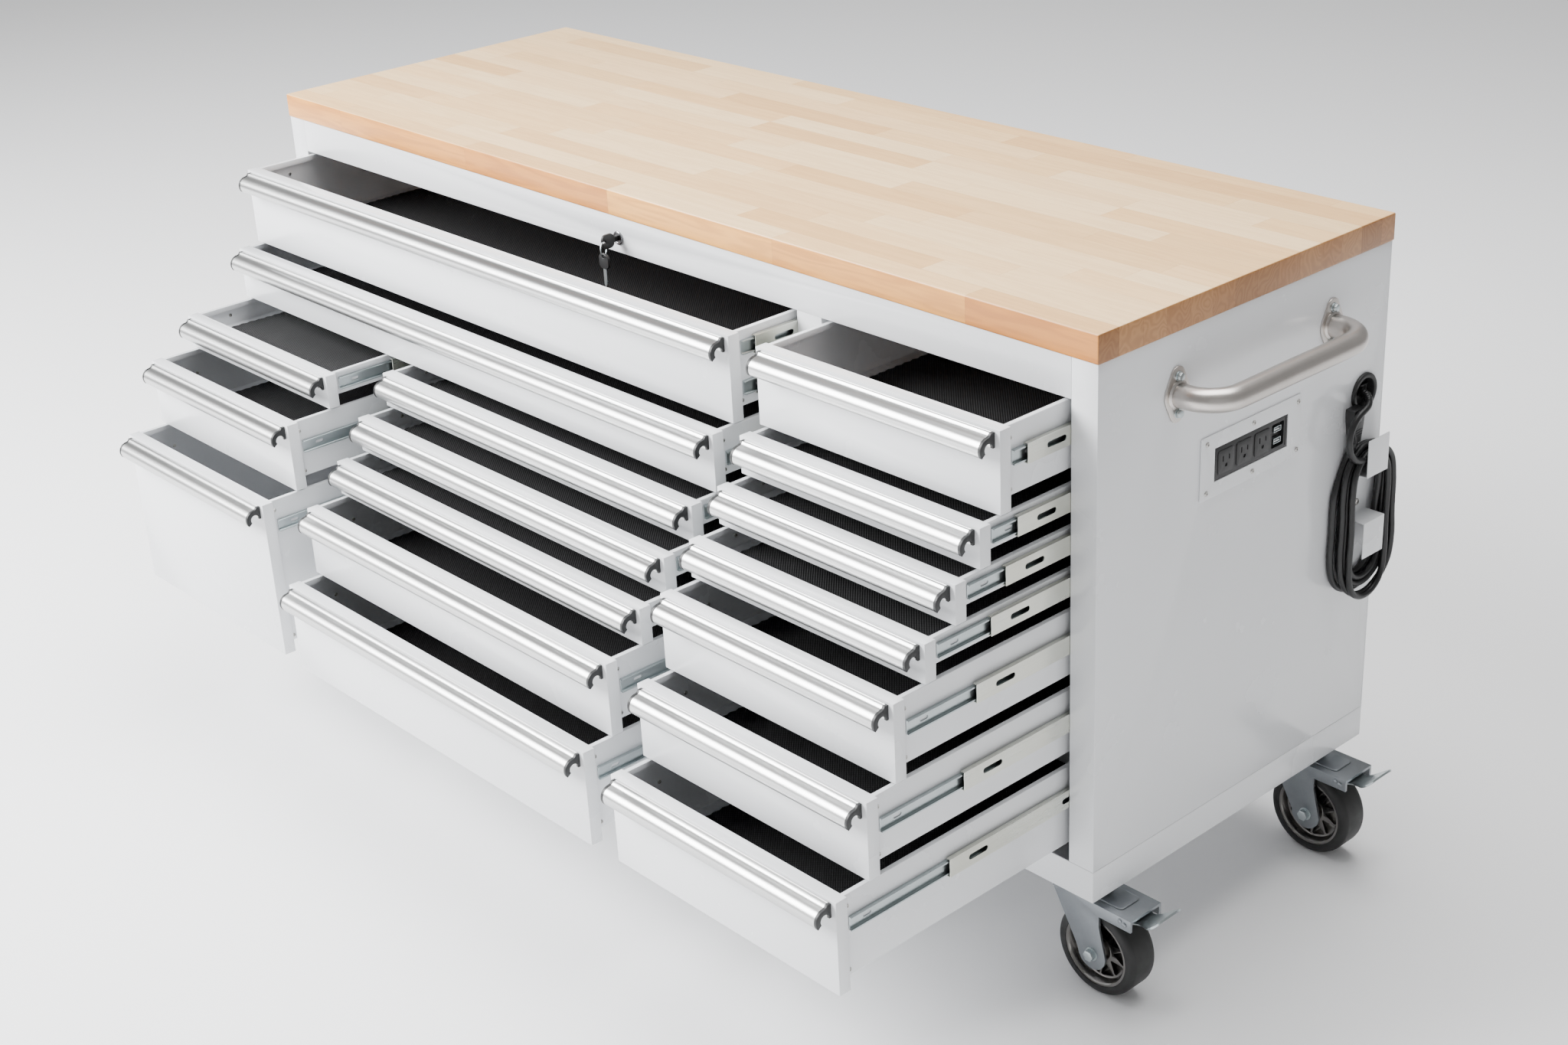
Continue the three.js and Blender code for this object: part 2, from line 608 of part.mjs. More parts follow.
function outletParts() {
  const y = -TOP_DEPTH / 2 + OUTLET_FRONT_SETBACK;
  const z = topZ - OUTLET_BELOW_TOP;
  const plateX = [halfLength + FIT_GAP, halfLength + FIT_GAP + OUTLET_PLATE_THICKNESS];
  const around = (centre, size, extra) => [centre - size / 2 - extra, centre + size / 2 + extra];
  const plate = block(plateX, around(y, OUTLET_PLATE_WIDTH, 0), around(z, OUTLET_PLATE_HEIGHT, 0));
  const window = block(
    [plateX[0] - OVERRUN, plateX[1] + OVERRUN],
    around(y, OUTLET_BLOCK_WIDTH, FIT_GAP),
    around(z, OUTLET_BLOCK_HEIGHT, FIT_GAP),
  );
  const face = plateX[1] - OUTLET_BLOCK_RECESS;
  const body = block(
    [face - OUTLET_BLOCK_DEPTH, face],
    around(y, OUTLET_BLOCK_WIDTH, 0),
    around(z, OUTLET_BLOCK_HEIGHT, 0),
  );
  return [
    pieceOf("outlet_plate", plate.subtract(window), PAINT),
    pieceOf("outlet_block", body, BLACK_PLASTIC),
  ];
}

function grommetCentre() {
  return [TOP_DEPTH / 2 - GROMMET_BACK_SETBACK, topZ - GROMMET_BELOW_TOP];
}

function grommet() {
  const hole = CORD_RADIUS + FIT_GAP;
  const outer = FIT_GAP + GROMMET_FLANGE_THICKNESS;
  const web = -GROMMET_SLEEVE_DEPTH + GROMMET_WEB_THICKNESS;
  const profile = [
    [hole, -GROMMET_SLEEVE_DEPTH],
    [GROMMET_SLEEVE_RADIUS, -GROMMET_SLEEVE_DEPTH],
    [GROMMET_SLEEVE_RADIUS, FIT_GAP],
    [GROMMET_FLANGE_RADIUS, FIT_GAP],
    [GROMMET_FLANGE_RADIUS, outer - GROMMET_CHAMFER],
    [GROMMET_FLANGE_RADIUS - GROMMET_CHAMFER, outer],
    [GROMMET_WELL_RADIUS, outer],
    [GROMMET_WELL_RADIUS, web],
    [hole, web],
    [hole, -GROMMET_SLEEVE_DEPTH],
  ].map((point) => new THREE.Vector2(...point));
  const [y, z] = grommetCentre();
  const geometry = new THREE.LatheGeometry(profile, LATHE_SIDES);
  const facingOut = geometry.rotateZ(-Math.PI / 2).translate(halfLength, y, z);
  return pieceOf("cord_grommet", solid(facingOut), BLACK_PLASTIC);
}

// A plate on the panel with a shelf at each end, and a flap turned up or down from each shelf.
function cordBracket() {
  const x0 = halfLength + FIT_GAP;
  const x1 = halfLength + BRACKET_REACH;
  const middle = TOP_DEPTH / 2 - BRACKET_BACK_SETBACK;
  const y = [middle - BRACKET_WIDTH / 2, middle + BRACKET_WIDTH / 2];
  const top = topZ - BRACKET_UPPER_BELOW_TOP;
  const bottom = topZ - BRACKET_LOWER_BELOW_TOP;
  return pieceOf(
    "cord_bracket",
    union([
      block([x0, x0 + BRACKET_SHEET], y, [bottom, top]),
      block([x0, x1], y, [top - BRACKET_SHEET, top]),
      block([x0, x1], y, [bottom, bottom + BRACKET_SHEET]),
      block([x1 - BRACKET_SHEET, x1], y, [top - BRACKET_SHEET, top + BRACKET_UPPER_FLAP]),
      block([x1 - BRACKET_SHEET, x1], y, [bottom - BRACKET_LOWER_FLAP, bottom + BRACKET_SHEET]),
    ]),
    PAINT,
  );
}

function freeStretch() {
  const points = CORD_ROUTE.map(
    ([out, inward, down]) => new THREE.Vector3(halfLength + out, TOP_DEPTH / 2 - inward, topZ - down),
  );
  const extrudePath = new THREE.CatmullRomCurve3(points, false, "centripetal");
  const round = new THREE.Shape().absarc(0, 0, CORD_RADIUS, 0, 2 * Math.PI, false);
  const options = { steps: CORD_STEPS, extrudePath, curveSegments: CORD_HALF_SIDES };
  return pieceOf("power_cord", solid(new THREE.ExtrudeGeometry(round, options)), RUBBER);
}

// The coil hangs over the bracket's upper shelf, whose corners touch the inside of its upper bend.
function coilSizes() {
  const pitch = 2 * CORD_RADIUS + FIT_GAP;
  const hole = COIL_INNER_RADIUS - CORD_RADIUS;
  const shelfHalf = BRACKET_WIDTH / 2;
  const shelfTop = topZ - BRACKET_UPPER_BELOW_TOP;
  return {
    hole,
    outer: COIL_INNER_RADIUS + (COIL_RINGS - 1) * pitch + CORD_RADIUS,
    thickness: 2 * CORD_RADIUS + (COIL_LAYERS - 1) * pitch,
    highCentre: shelfTop + FIT_GAP - Math.sqrt(hole * hole - shelfHalf * shelfHalf),
    lowCentre: topZ - COIL_LOW_CENTRE_BELOW_TOP,
  };
}

// The wound lead's outer shape: a long ring hung over the bracket's upper shelf.
function coil() {
  const { hole, outer, thickness, highCentre, lowCentre } = coilSizes();
  const longRing = (radius, path) => {
    path.absarc(0, highCentre, radius, 0, Math.PI, false);
    return path.absarc(0, lowCentre, radius, Math.PI, 2 * Math.PI, false);
  };
  const outline = longRing(outer, new THREE.Shape());
  outline.holes.push(longRing(hole, new THREE.Path()));
  const options = { depth: thickness, bevelEnabled: false, curveSegments: COIL_CURVE_STEPS };
  const geometry = new THREE.ExtrudeGeometry(outline, options);
  const upright = geometry.rotateX(Math.PI / 2).rotateZ(Math.PI / 2);
  const x = halfLength + COIL_STANDOFF - CORD_RADIUS;
  const y = TOP_DEPTH / 2 - BRACKET_BACK_SETBACK;
  return pieceOf("cord_coil", solid(upright.translate(x, y, 0)), RUBBER);
}

// The plug stands on the coil, inside the loop of the free stretch.
function plug() {
  const { outer, highCentre } = coilSizes();
  const loopReach = Math.max(...CORD_ROUTE.map(([out]) => out));
  const x = halfLength + loopReach - CORD_RADIUS - PLUG_SIDE_GAP - PLUG_BODY_THICKNESS / 2;
  const y = TOP_DEPTH / 2 - BRACKET_BACK_SETBACK + PLUG_OFFSET;
  const neckSide = Math.abs(PLUG_OFFSET) - PLUG_NECK_RADIUS;
  const neckBottom = highCentre + Math.sqrt(outer * outer - neckSide * neckSide) + PLUG_COIL_GAP;
  const bodyBottom = neckBottom + PLUG_NECK_LENGTH;
  const bodyTop = bodyBottom + PLUG_BODY_HEIGHT;
  const bladeTop = bodyTop + PLUG_BLADE_LENGTH;
  const bladeX = [x - PLUG_BLADE_WIDTH, x];
  const blade = (side) => {
    const middle = y + (side * PLUG_BLADE_SPACING) / 2;
    const bladeY = [middle - PLUG_BLADE_THICKNESS / 2, middle + PLUG_BLADE_THICKNESS / 2];
    return block(bladeX, bladeY, [bodyTop - OVERRUN, bladeTop]);
  };
  return pieceOf(
    "cord_plug",
    union([
      block(
        [x - PLUG_BODY_THICKNESS / 2, x + PLUG_BODY_THICKNESS / 2],
        [y - PLUG_BODY_WIDTH / 2, y + PLUG_BODY_WIDTH / 2],
        [bodyBottom, bodyTop],
      ),
      rod("z", neckBottom, bodyBottom + OVERRUN, [x, y], PLUG_NECK_RADIUS, SMALL_ROUND_SIDES),
      blade(-1),
      blade(1),
      rod("z", bodyTop - OVERRUN, bladeTop, [x + PLUG_PIN_FORWARD, y], PLUG_PIN_RADIUS, SMALL_ROUND_SIDES),
    ]),
    BLACK_PLASTIC,
  );
}

// ---- Casters ----

function casterPlaces() {
  const x = TOP_LENGTH / 2 - CASTER_END_SETBACK;
  const y = TOP_DEPTH / 2 - CASTER_SIDE_SETBACK;
  return [
    [x, -y],
    [x, y],
    [-x, -y],
    [-x, y],
  ];
}

// One cheek of a fork, seen from the front: from the crown down to the axle's foot.
function cheekOutline(trail, crownTop) {
  const half = FORK_CROWN_HALF_LENGTH;
  const foot = FORK_FOOT_RADIUS;
  const outline = new THREE.Shape();
  outline.moveTo(-half, crownTop);
  outline.lineTo(trail - foot, WHEEL_RADIUS);
  outline.absarc(trail, WHEEL_RADIUS, foot, Math.PI, 2 * Math.PI, false);
  outline.lineTo(Math.max(half, trail + foot / 2), (WHEEL_RADIUS + crownTop) / 2 + foot / 4);
  outline.lineTo(Math.max(half, trail + foot / 2), crownTop).closePath();
  return outline;
}

function forkCheeks(trail, crownTop) {
  const middle = WHEEL_WIDTH / 2 + FORK_WHEEL_GAP + FORK_SHEET / 2;
  const cheeks = [-middle, middle].map((y) => plateAcrossY(cheekOutline(trail, crownTop), FORK_SHEET, y));
  const axle = rod("y", -middle, middle, [trail, WHEEL_RADIUS], AXLE_RADIUS, SMALL_ROUND_SIDES);
  return union([...cheeks, axle]);
}

// A fork on a ball race, with the brake's cover reaching out over the wheel.
function swivelFork(name) {
  const half = WHEEL_WIDTH / 2 + FORK_WHEEL_GAP + FORK_SHEET;
  const crownZ = [crownTopZ - FORK_SHEET, crownTopZ];
  const coverEnd = BRAKE_COVER_REACH;
  const coverZ = [crownTopZ - BRAKE_COVER_DROP, crownTopZ];
  const coverSide = (low) => block([0, coverEnd], [low, low + FORK_SHEET], coverZ);
  return pieceOf(
    name,
    union([
      forkCheeks(CASTER_TRAIL, crownTopZ),
      block([-FORK_CROWN_HALF_LENGTH, coverEnd], [-half, half], crownZ),
      coverSide(-half),
      coverSide(half - FORK_SHEET),
      rod("z", crownTopZ - OVERRUN, padBottomZ - FIT_GAP, [0, 0], BALL_RACE_RADIUS, LATHE_SIDES),
    ]),
    DARK_ZINC,
  );
}

function rigidFork(name) {
  const half = WHEEL_WIDTH / 2 + FORK_WHEEL_GAP + FORK_SHEET;
  const top = padBottomZ - FIT_GAP;
  const crownX = [-FORK_CROWN_HALF_LENGTH, FORK_CROWN_HALF_LENGTH];
  const crown = block(crownX, [-half, half], [top - FORK_SHEET, top]);
  return pieceOf(name, forkCheeks(0, top).add(crown), DARK_ZINC);
}

function wheel(name) {
  const bore = AXLE_RADIUS + AXLE_CLEARANCE;
  const half = WHEEL_WIDTH / 2;
  const shoulder = (turn) => [
    WHEEL_RADIUS - WHEEL_SHOULDER + WHEEL_SHOULDER * Math.sin(turn),
    half - WHEEL_SHOULDER + WHEEL_SHOULDER * Math.cos(turn),
  ];
  const side = [
    [bore, HUB_WIDTH / 2],
    [HUB_RADIUS, HUB_WIDTH / 2],
    [HUB_RADIUS, RIM_WEB_WIDTH / 2],
    [RIM_RADIUS, RIM_WEB_WIDTH / 2],
    [RIM_RADIUS, half],
    ...SHOULDER_TURNS.map((angle) => shoulder(THREE.MathUtils.degToRad(angle))),
  ];
  const mirrored = side.map(([radius, across]) => [radius, -across]);
  const loop = [...mirrored, ...side.reverse(), mirrored[0]].map((point) => new THREE.Vector2(...point));
  return pieceOf(name, solid(new THREE.LatheGeometry(loop, LATHE_SIDES)), RUBBER);
}

// The foot pedal, hinged between the cover's sides. Its own frame has the hinge line as Y.
function brakePedal(name) {
  const half = PEDAL_SHEET / 2;
  const outline = new THREE.Shape();
  outline.moveTo(0, -half).lineTo(PEDAL_KNEE_REACH + half, PEDAL_KNEE_RISE - half);
  outline.lineTo(PEDAL_REACH + half, PEDAL_RISE - half).lineTo(PEDAL_REACH - half, PEDAL_RISE + half);
  outline.lineTo(PEDAL_KNEE_REACH - half, PEDAL_KNEE_RISE + half).lineTo(0, half).closePath();
  const hubHalf = WHEEL_WIDTH / 2 + FORK_WHEEL_GAP - 2 * FIT_GAP;
  const hub = rod("y", -hubHalf, hubHalf, [0, 0], PEDAL_HUB_RADIUS, SMALL_ROUND_SIDES);
  return pieceOf(name, plateAcrossY(outline, PEDAL_WIDTH, 0).add(hub), ZINC);
}

function swivelCaster(corner, [x, y]) {
  const group = new THREE.Group();
  const roller = wheel(`${corner}_wheel`);
  roller.position.set(CASTER_TRAIL, 0, WHEEL_RADIUS);
  const pedal = brakePedal(`${corner}_brake_pedal`);
  pedal.position.set(PEDAL_PIVOT_REACH, 0, crownTopZ - PEDAL_PIVOT_BELOW_CROWN);
  group.add(swivelFork(`${corner}_fork`), roller, pedal);
  group.position.set(x, y, 0);
  return group;
}

function rigidCaster(corner, [x, y]) {
  const group = new THREE.Group();
  const roller = wheel(`${corner}_wheel`);
  roller.position.z = WHEEL_RADIUS;
  group.add(rigidFork(`${corner}_fork`), roller);
  group.position.set(x, y, 0);
  return group;
}

// ---- Assembly ----

const columns = columnPlaces();
const [rightFront, rightBack, leftFront, leftBack] = casterPlaces();
const bench = new THREE.Group();
bench.add(
  worktop(),
  leftPanel(),
  rightPanel(),
  backPanel(),
  baseFrame(),
  topRail(),
  innerFrame(),
  lockKey(),
  pushHandle(),
  ...outletParts(),
  grommet(),
  cordBracket(),
  ...drawerPlans().map(drawer),
  swivelCaster("right_front", rightFront),
  swivelCaster("right_back", rightBack),
  rigidCaster("left_front", leftFront),
  rigidCaster("left_back", leftBack),
);

// The origin is the middle of the bench's footprint, on the floor, measured before the lead is added.
bench.updateMatrixWorld(true);
const reach = new THREE.Box3().setFromObject(bench, true);
bench.add(freeStretch(), coil(), plug());
bench.position.set(-(reach.min.x + reach.max.x) / 2, -(reach.min.y + reach.max.y) / 2, -reach.min.z);

export default bench;
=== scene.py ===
"""The looks of a rolling workbench: a butcher-block top on a white steel cabinet of drawers."""
import logging
import math
from dataclasses import dataclass
from enum import Enum
from typing import Callable, Iterable, Sequence

import bmesh
import bpy
from mathutils import Matrix, Vector


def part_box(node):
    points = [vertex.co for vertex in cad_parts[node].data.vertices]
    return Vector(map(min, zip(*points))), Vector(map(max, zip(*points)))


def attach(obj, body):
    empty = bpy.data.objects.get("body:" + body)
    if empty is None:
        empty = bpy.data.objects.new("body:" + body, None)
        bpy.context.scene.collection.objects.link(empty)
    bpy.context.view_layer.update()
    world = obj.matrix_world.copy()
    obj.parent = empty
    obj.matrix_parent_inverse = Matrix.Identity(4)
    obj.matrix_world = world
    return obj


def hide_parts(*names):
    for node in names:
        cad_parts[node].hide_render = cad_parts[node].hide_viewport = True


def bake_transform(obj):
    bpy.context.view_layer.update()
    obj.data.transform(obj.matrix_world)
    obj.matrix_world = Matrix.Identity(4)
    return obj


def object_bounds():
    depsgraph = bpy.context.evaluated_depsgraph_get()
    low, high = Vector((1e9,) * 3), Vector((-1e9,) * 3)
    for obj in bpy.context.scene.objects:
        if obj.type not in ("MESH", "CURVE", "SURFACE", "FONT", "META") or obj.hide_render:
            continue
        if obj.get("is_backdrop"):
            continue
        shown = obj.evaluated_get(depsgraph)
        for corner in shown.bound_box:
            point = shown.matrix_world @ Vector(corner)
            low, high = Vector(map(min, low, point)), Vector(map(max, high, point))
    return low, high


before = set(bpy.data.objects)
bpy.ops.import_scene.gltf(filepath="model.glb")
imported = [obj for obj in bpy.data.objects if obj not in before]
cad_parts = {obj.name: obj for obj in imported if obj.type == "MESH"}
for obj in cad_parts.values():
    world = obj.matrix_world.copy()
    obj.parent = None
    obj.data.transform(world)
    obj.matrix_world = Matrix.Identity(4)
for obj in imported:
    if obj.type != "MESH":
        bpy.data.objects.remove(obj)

log = logging.getLogger("workbench")
MM = 0.001
Point = tuple[float, float]
Test = Callable[[Vector, Vector], bool]


# ---- Hand tools: picking, starting shapes, cutting, copying ----


def lay_down() -> None:
    """Leaves edit mode and deselects everything."""
    if bpy.context.object and bpy.context.object.mode != "OBJECT":
        bpy.ops.object.mode_set(mode="OBJECT")
    bpy.ops.object.select_all(action="DESELECT")


def pick_up(piece: bpy.types.Object) -> None:
    """Makes one piece the only selected and active one."""
    lay_down()
    piece.select_set(True)
    bpy.context.view_layer.objects.active = piece


def open_up(piece: bpy.types.Object) -> None:
    """Goes into edit mode on one piece."""
    pick_up(piece)
    bpy.ops.object.mode_set(mode="EDIT")


def settle(piece: bpy.types.Object) -> bpy.types.Object:
    """Puts a piece's place into its mesh."""
    pick_up(piece)
    bpy.ops.object.transform_apply(location=True, rotation=True, scale=True)
    return piece


def mark_faces(piece: bpy.types.Object, test: Test) -> None:
    """Selects faces in edit mode.

    Args:
        piece: the piece in edit mode.
        test: says yes to a face's middle and normal.
    """
    mesh = bmesh.from_edit_mesh(piece.data)
    mesh.faces.ensure_lookup_table()
    for face in mesh.faces:
        face.select_set(False)
    for face in mesh.faces:
        if test(face.calc_center_median(), face.normal):
            face.select_set(True)
    mesh.select_flush_mode()
    bmesh.update_edit_mesh(piece.data)


def mend(piece: bpy.types.Object, outward: bool = True) -> bpy.types.Object:
    """Merges doubles, drops loose edges and turns faces outward."""
    open_up(piece)
    bpy.ops.mesh.select_mode(type="VERT")
    bpy.ops.mesh.select_all(action="SELECT")
    bpy.ops.mesh.remove_doubles(threshold=1e-6)
    bpy.ops.mesh.select_all(action="SELECT")
    bpy.ops.mesh.dissolve_degenerate(threshold=1e-7)
    bpy.ops.mesh.delete_loose()
    if outward:
        bpy.ops.mesh.select_all(action="SELECT")
        bpy.ops.mesh.normals_make_consistent(inside=False)
    bpy.ops.object.mode_set(mode="OBJECT")
    return piece


def bevelled(piece: bpy.types.Object, width: float, segments: int = 2, angle: float = 32) -> bpy.types.Object:
    """Rounds a piece's sharp edges.

    Args:
        piece: the piece.
        width: the round's width, in millimetres.
        segments: steps across the round.
        angle: edges sharper than this, in degrees, are rounded.

    Returns:
        The same piece.
    """
    pick_up(piece)
    modifier = piece.modifiers.new("edge", "BEVEL")
    modifier.width = width * MM
    modifier.segments = segments
    modifier.limit_method = "ANGLE"
    modifier.angle_limit = math.radians(angle)
    modifier.use_clamp_overlap = True
    bpy.ops.object.modifier_apply(modifier=modifier.name)
    return piece


def block(low: Sequence[float], high: Sequence[float]) -> bpy.types.Object:
    """A box between two corners, in metres."""
    low, high = Vector(low), Vector(high)
    lay_down()
    bpy.ops.mesh.primitive_cube_add(size=1, location=(low + high) / 2, scale=high - low)
    return settle(bpy.context.object)


AXIS_TURN = {"X": (0, math.pi / 2, 0), "Y": (math.pi / 2, 0, 0), "Z": (0, 0, 0)}


def rod(centre: Sequence[float], axis: str, radius: float, length: float, sides: int = 32) -> bpy.types.Object:
    """A round bar about its middle, in metres."""
    lay_down()
    bpy.ops.mesh.primitive_cylinder_add(
        vertices=sides, radius=radius, depth=length, location=centre, rotation=AXIS_TURN[axis]
    )
    return settle(bpy.context.object)


def wire(points: Sequence[Sequence[float]], fill: str = "NOTHING") -> bpy.types.Object:
    """A ring whose corners are moved onto the given points.

    Args:
        points: the corners in order, in metres.
        fill: NOTHING for a wire, NGON for a filled outline.

    Returns:
        The new piece.
    """
    lay_down()
    bpy.ops.mesh.primitive_circle_add(vertices=len(points), radius=1, fill_type=fill, location=(0, 0, 0))
    ring = bpy.context.object
    for vertex, point in zip(ring.data.vertices, points):
        vertex.co = point
    return ring


def pulled(points: Sequence[Sequence[float]], along: Sequence[float]) -> bpy.types.Object:
    """A filled outline pulled along a direction.

    Args:
        points: the outline's corners, in metres.
        along: how far and which way it is pulled.

    Returns:
        The closed piece.
    """
    piece = wire(points, "NGON")
    open_up(piece)
    bpy.ops.mesh.select_all(action="SELECT")
    bpy.ops.mesh.extrude_region_move(TRANSFORM_OT_translate={"value": tuple(along)})
    bpy.ops.mesh.select_all(action="SELECT")
    bpy.ops.mesh.normals_make_consistent(inside=False)
    bpy.ops.object.mode_set(mode="OBJECT")
    return piece


def turned(profile: Sequence[Point], axis: str, centre: Sequence[float], steps: int = 40) -> bpy.types.Object:
    """A closed outline spun about an axis.

    Args:
        profile: (radius, distance along the axis) pairs in millimetres, in order.
        axis: X, Y or Z.
        centre: where the axis's zero is, in metres.
        steps: faces round the axis.

    Returns:
        The closed piece.
    """
    place = {
        "X": lambda r, a: (a * MM, r * MM, 0),
        "Y": lambda r, a: (0, a * MM, r * MM),
        "Z": lambda r, a: (r * MM, 0, a * MM),
    }[axis]
    piece = wire([place(r, a) for r, a in profile])
    open_up(piece)
    bpy.ops.mesh.select_all(action="SELECT")
    direction = {"X": (1, 0, 0), "Y": (0, 1, 0), "Z": (0, 0, 1)}[axis]
    bpy.ops.mesh.spin(steps=steps, angle=2 * math.pi, center=(0, 0, 0), axis=direction)
    bpy.ops.object.mode_set(mode="OBJECT")
    mend(piece)
    piece.data.transform(Matrix.Translation(centre))
    return piece


def drilled(piece: bpy.types.Object, cutter: bpy.types.Object) -> bpy.types.Object:
    """Cuts one closed piece out of another and throws the cutter away."""
    pick_up(piece)
    modifier = piece.modifiers.new("cut", "BOOLEAN")
    modifier.operation = "DIFFERENCE"
    modifier.solver = "EXACT"
    modifier.object = cutter
    bpy.ops.object.modifier_apply(modifier=modifier.name)
    bpy.data.objects.remove(cutter)
    return piece


def copied(piece: bpy.types.Object, matrix: Matrix) -> bpy.types.Object:
    """A copy with its own mesh, moved by a matrix. A mirrored copy is turned the right way out."""
    twin = bpy.data.objects.new(piece.name, piece.data.copy())
    bpy.context.scene.collection.objects.link(twin)
    twin.data.transform(matrix)
    if matrix.determinant() < 0:
        twin.data.flip_normals()
    return twin


def moved(piece: bpy.types.Object, offset: Sequence[float]) -> bpy.types.Object:
    """A copy moved by an offset in metres."""
    return copied(piece, Matrix.Translation(offset))


def gathered(pieces: Iterable[bpy.types.Object]) -> bpy.types.Object:
    """Joins pieces into one."""
    pieces = list(pieces)
    lay_down()
    for piece in pieces:
        piece.select_set(True)
    bpy.context.view_layer.objects.active = pieces[0]
    if len(pieces) > 1:
        bpy.ops.object.join()
    return pieces[0]


def thrown_away(*pieces: bpy.types.Object) -> None:
    """Deletes patterns that have been copied."""
    for piece in pieces:
        bpy.data.objects.remove(piece)


def cad_copy(node: str, width: float = 0.6, segments: int = 2) -> bpy.types.Object:
    """A copy of a CAD node with its loose triangles merged and its edges rounded.

    Args:
        node: the CAD node's name.
        width: the round's width, in millimetres, or 0 for none.
        segments: steps across the round.

    Returns:
        The copy.
    """
    twin = bpy.data.objects.new(node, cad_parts[node].data.copy())
    bpy.context.scene.collection.objects.link(twin)
    twin.data.materials.clear()
    pick_up(twin)
    bpy.ops.mesh.customdata_custom_splitnormals_clear()
    open_up(twin)
    bpy.ops.mesh.select_all(action="SELECT")
    bpy.ops.mesh.remove_doubles(threshold=2e-6)
    bpy.ops.mesh.select_all(action="SELECT")
    bpy.ops.mesh.dissolve_limited(angle_limit=math.radians(0.5))
    bpy.ops.object.mode_set(mode="OBJECT")
    return bevelled(twin, width, segments) if width else twin


@dataclass(frozen=True)
class Extent:
    """A CAD node's box."""

    low: Vector
    high: Vector

    @classmethod
    def of(cls, node: str) -> "Extent":
        """The box of a node at rest."""
        return cls(*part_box(node))

    @property
    def middle(self) -> Vector:
        """The box's centre."""
        return (self.low + self.high) / 2

    @property
    def size(self) -> Vector:
        """The box's sides."""
        return self.high - self.low


def arc(centre: Point, radius: float, start: float, end: float, steps: int) -> list[Point]:
    """Points round an arc, its angles in degrees."""
    angles = [math.radians(start + (end - start) * i / steps) for i in range(steps + 1)]
    return [(centre[0] + radius * math.cos(a), centre[1] + radius * math.sin(a)) for a in angles]


def rounded(width: float, height: float, radius: float, steps: int = 4) -> list[Point]:
    """A rectangle with round corners, about its middle."""
    across, up = width / 2 - radius, height / 2 - radius
    corners = [(across, up, 0), (-across, up, 90), (-across, -up, 180), (across, -up, 270)]
    return [p for x, y, a in corners for p in arc((x, y), radius, a, a + 90, steps)]


# ---- Finishes ----


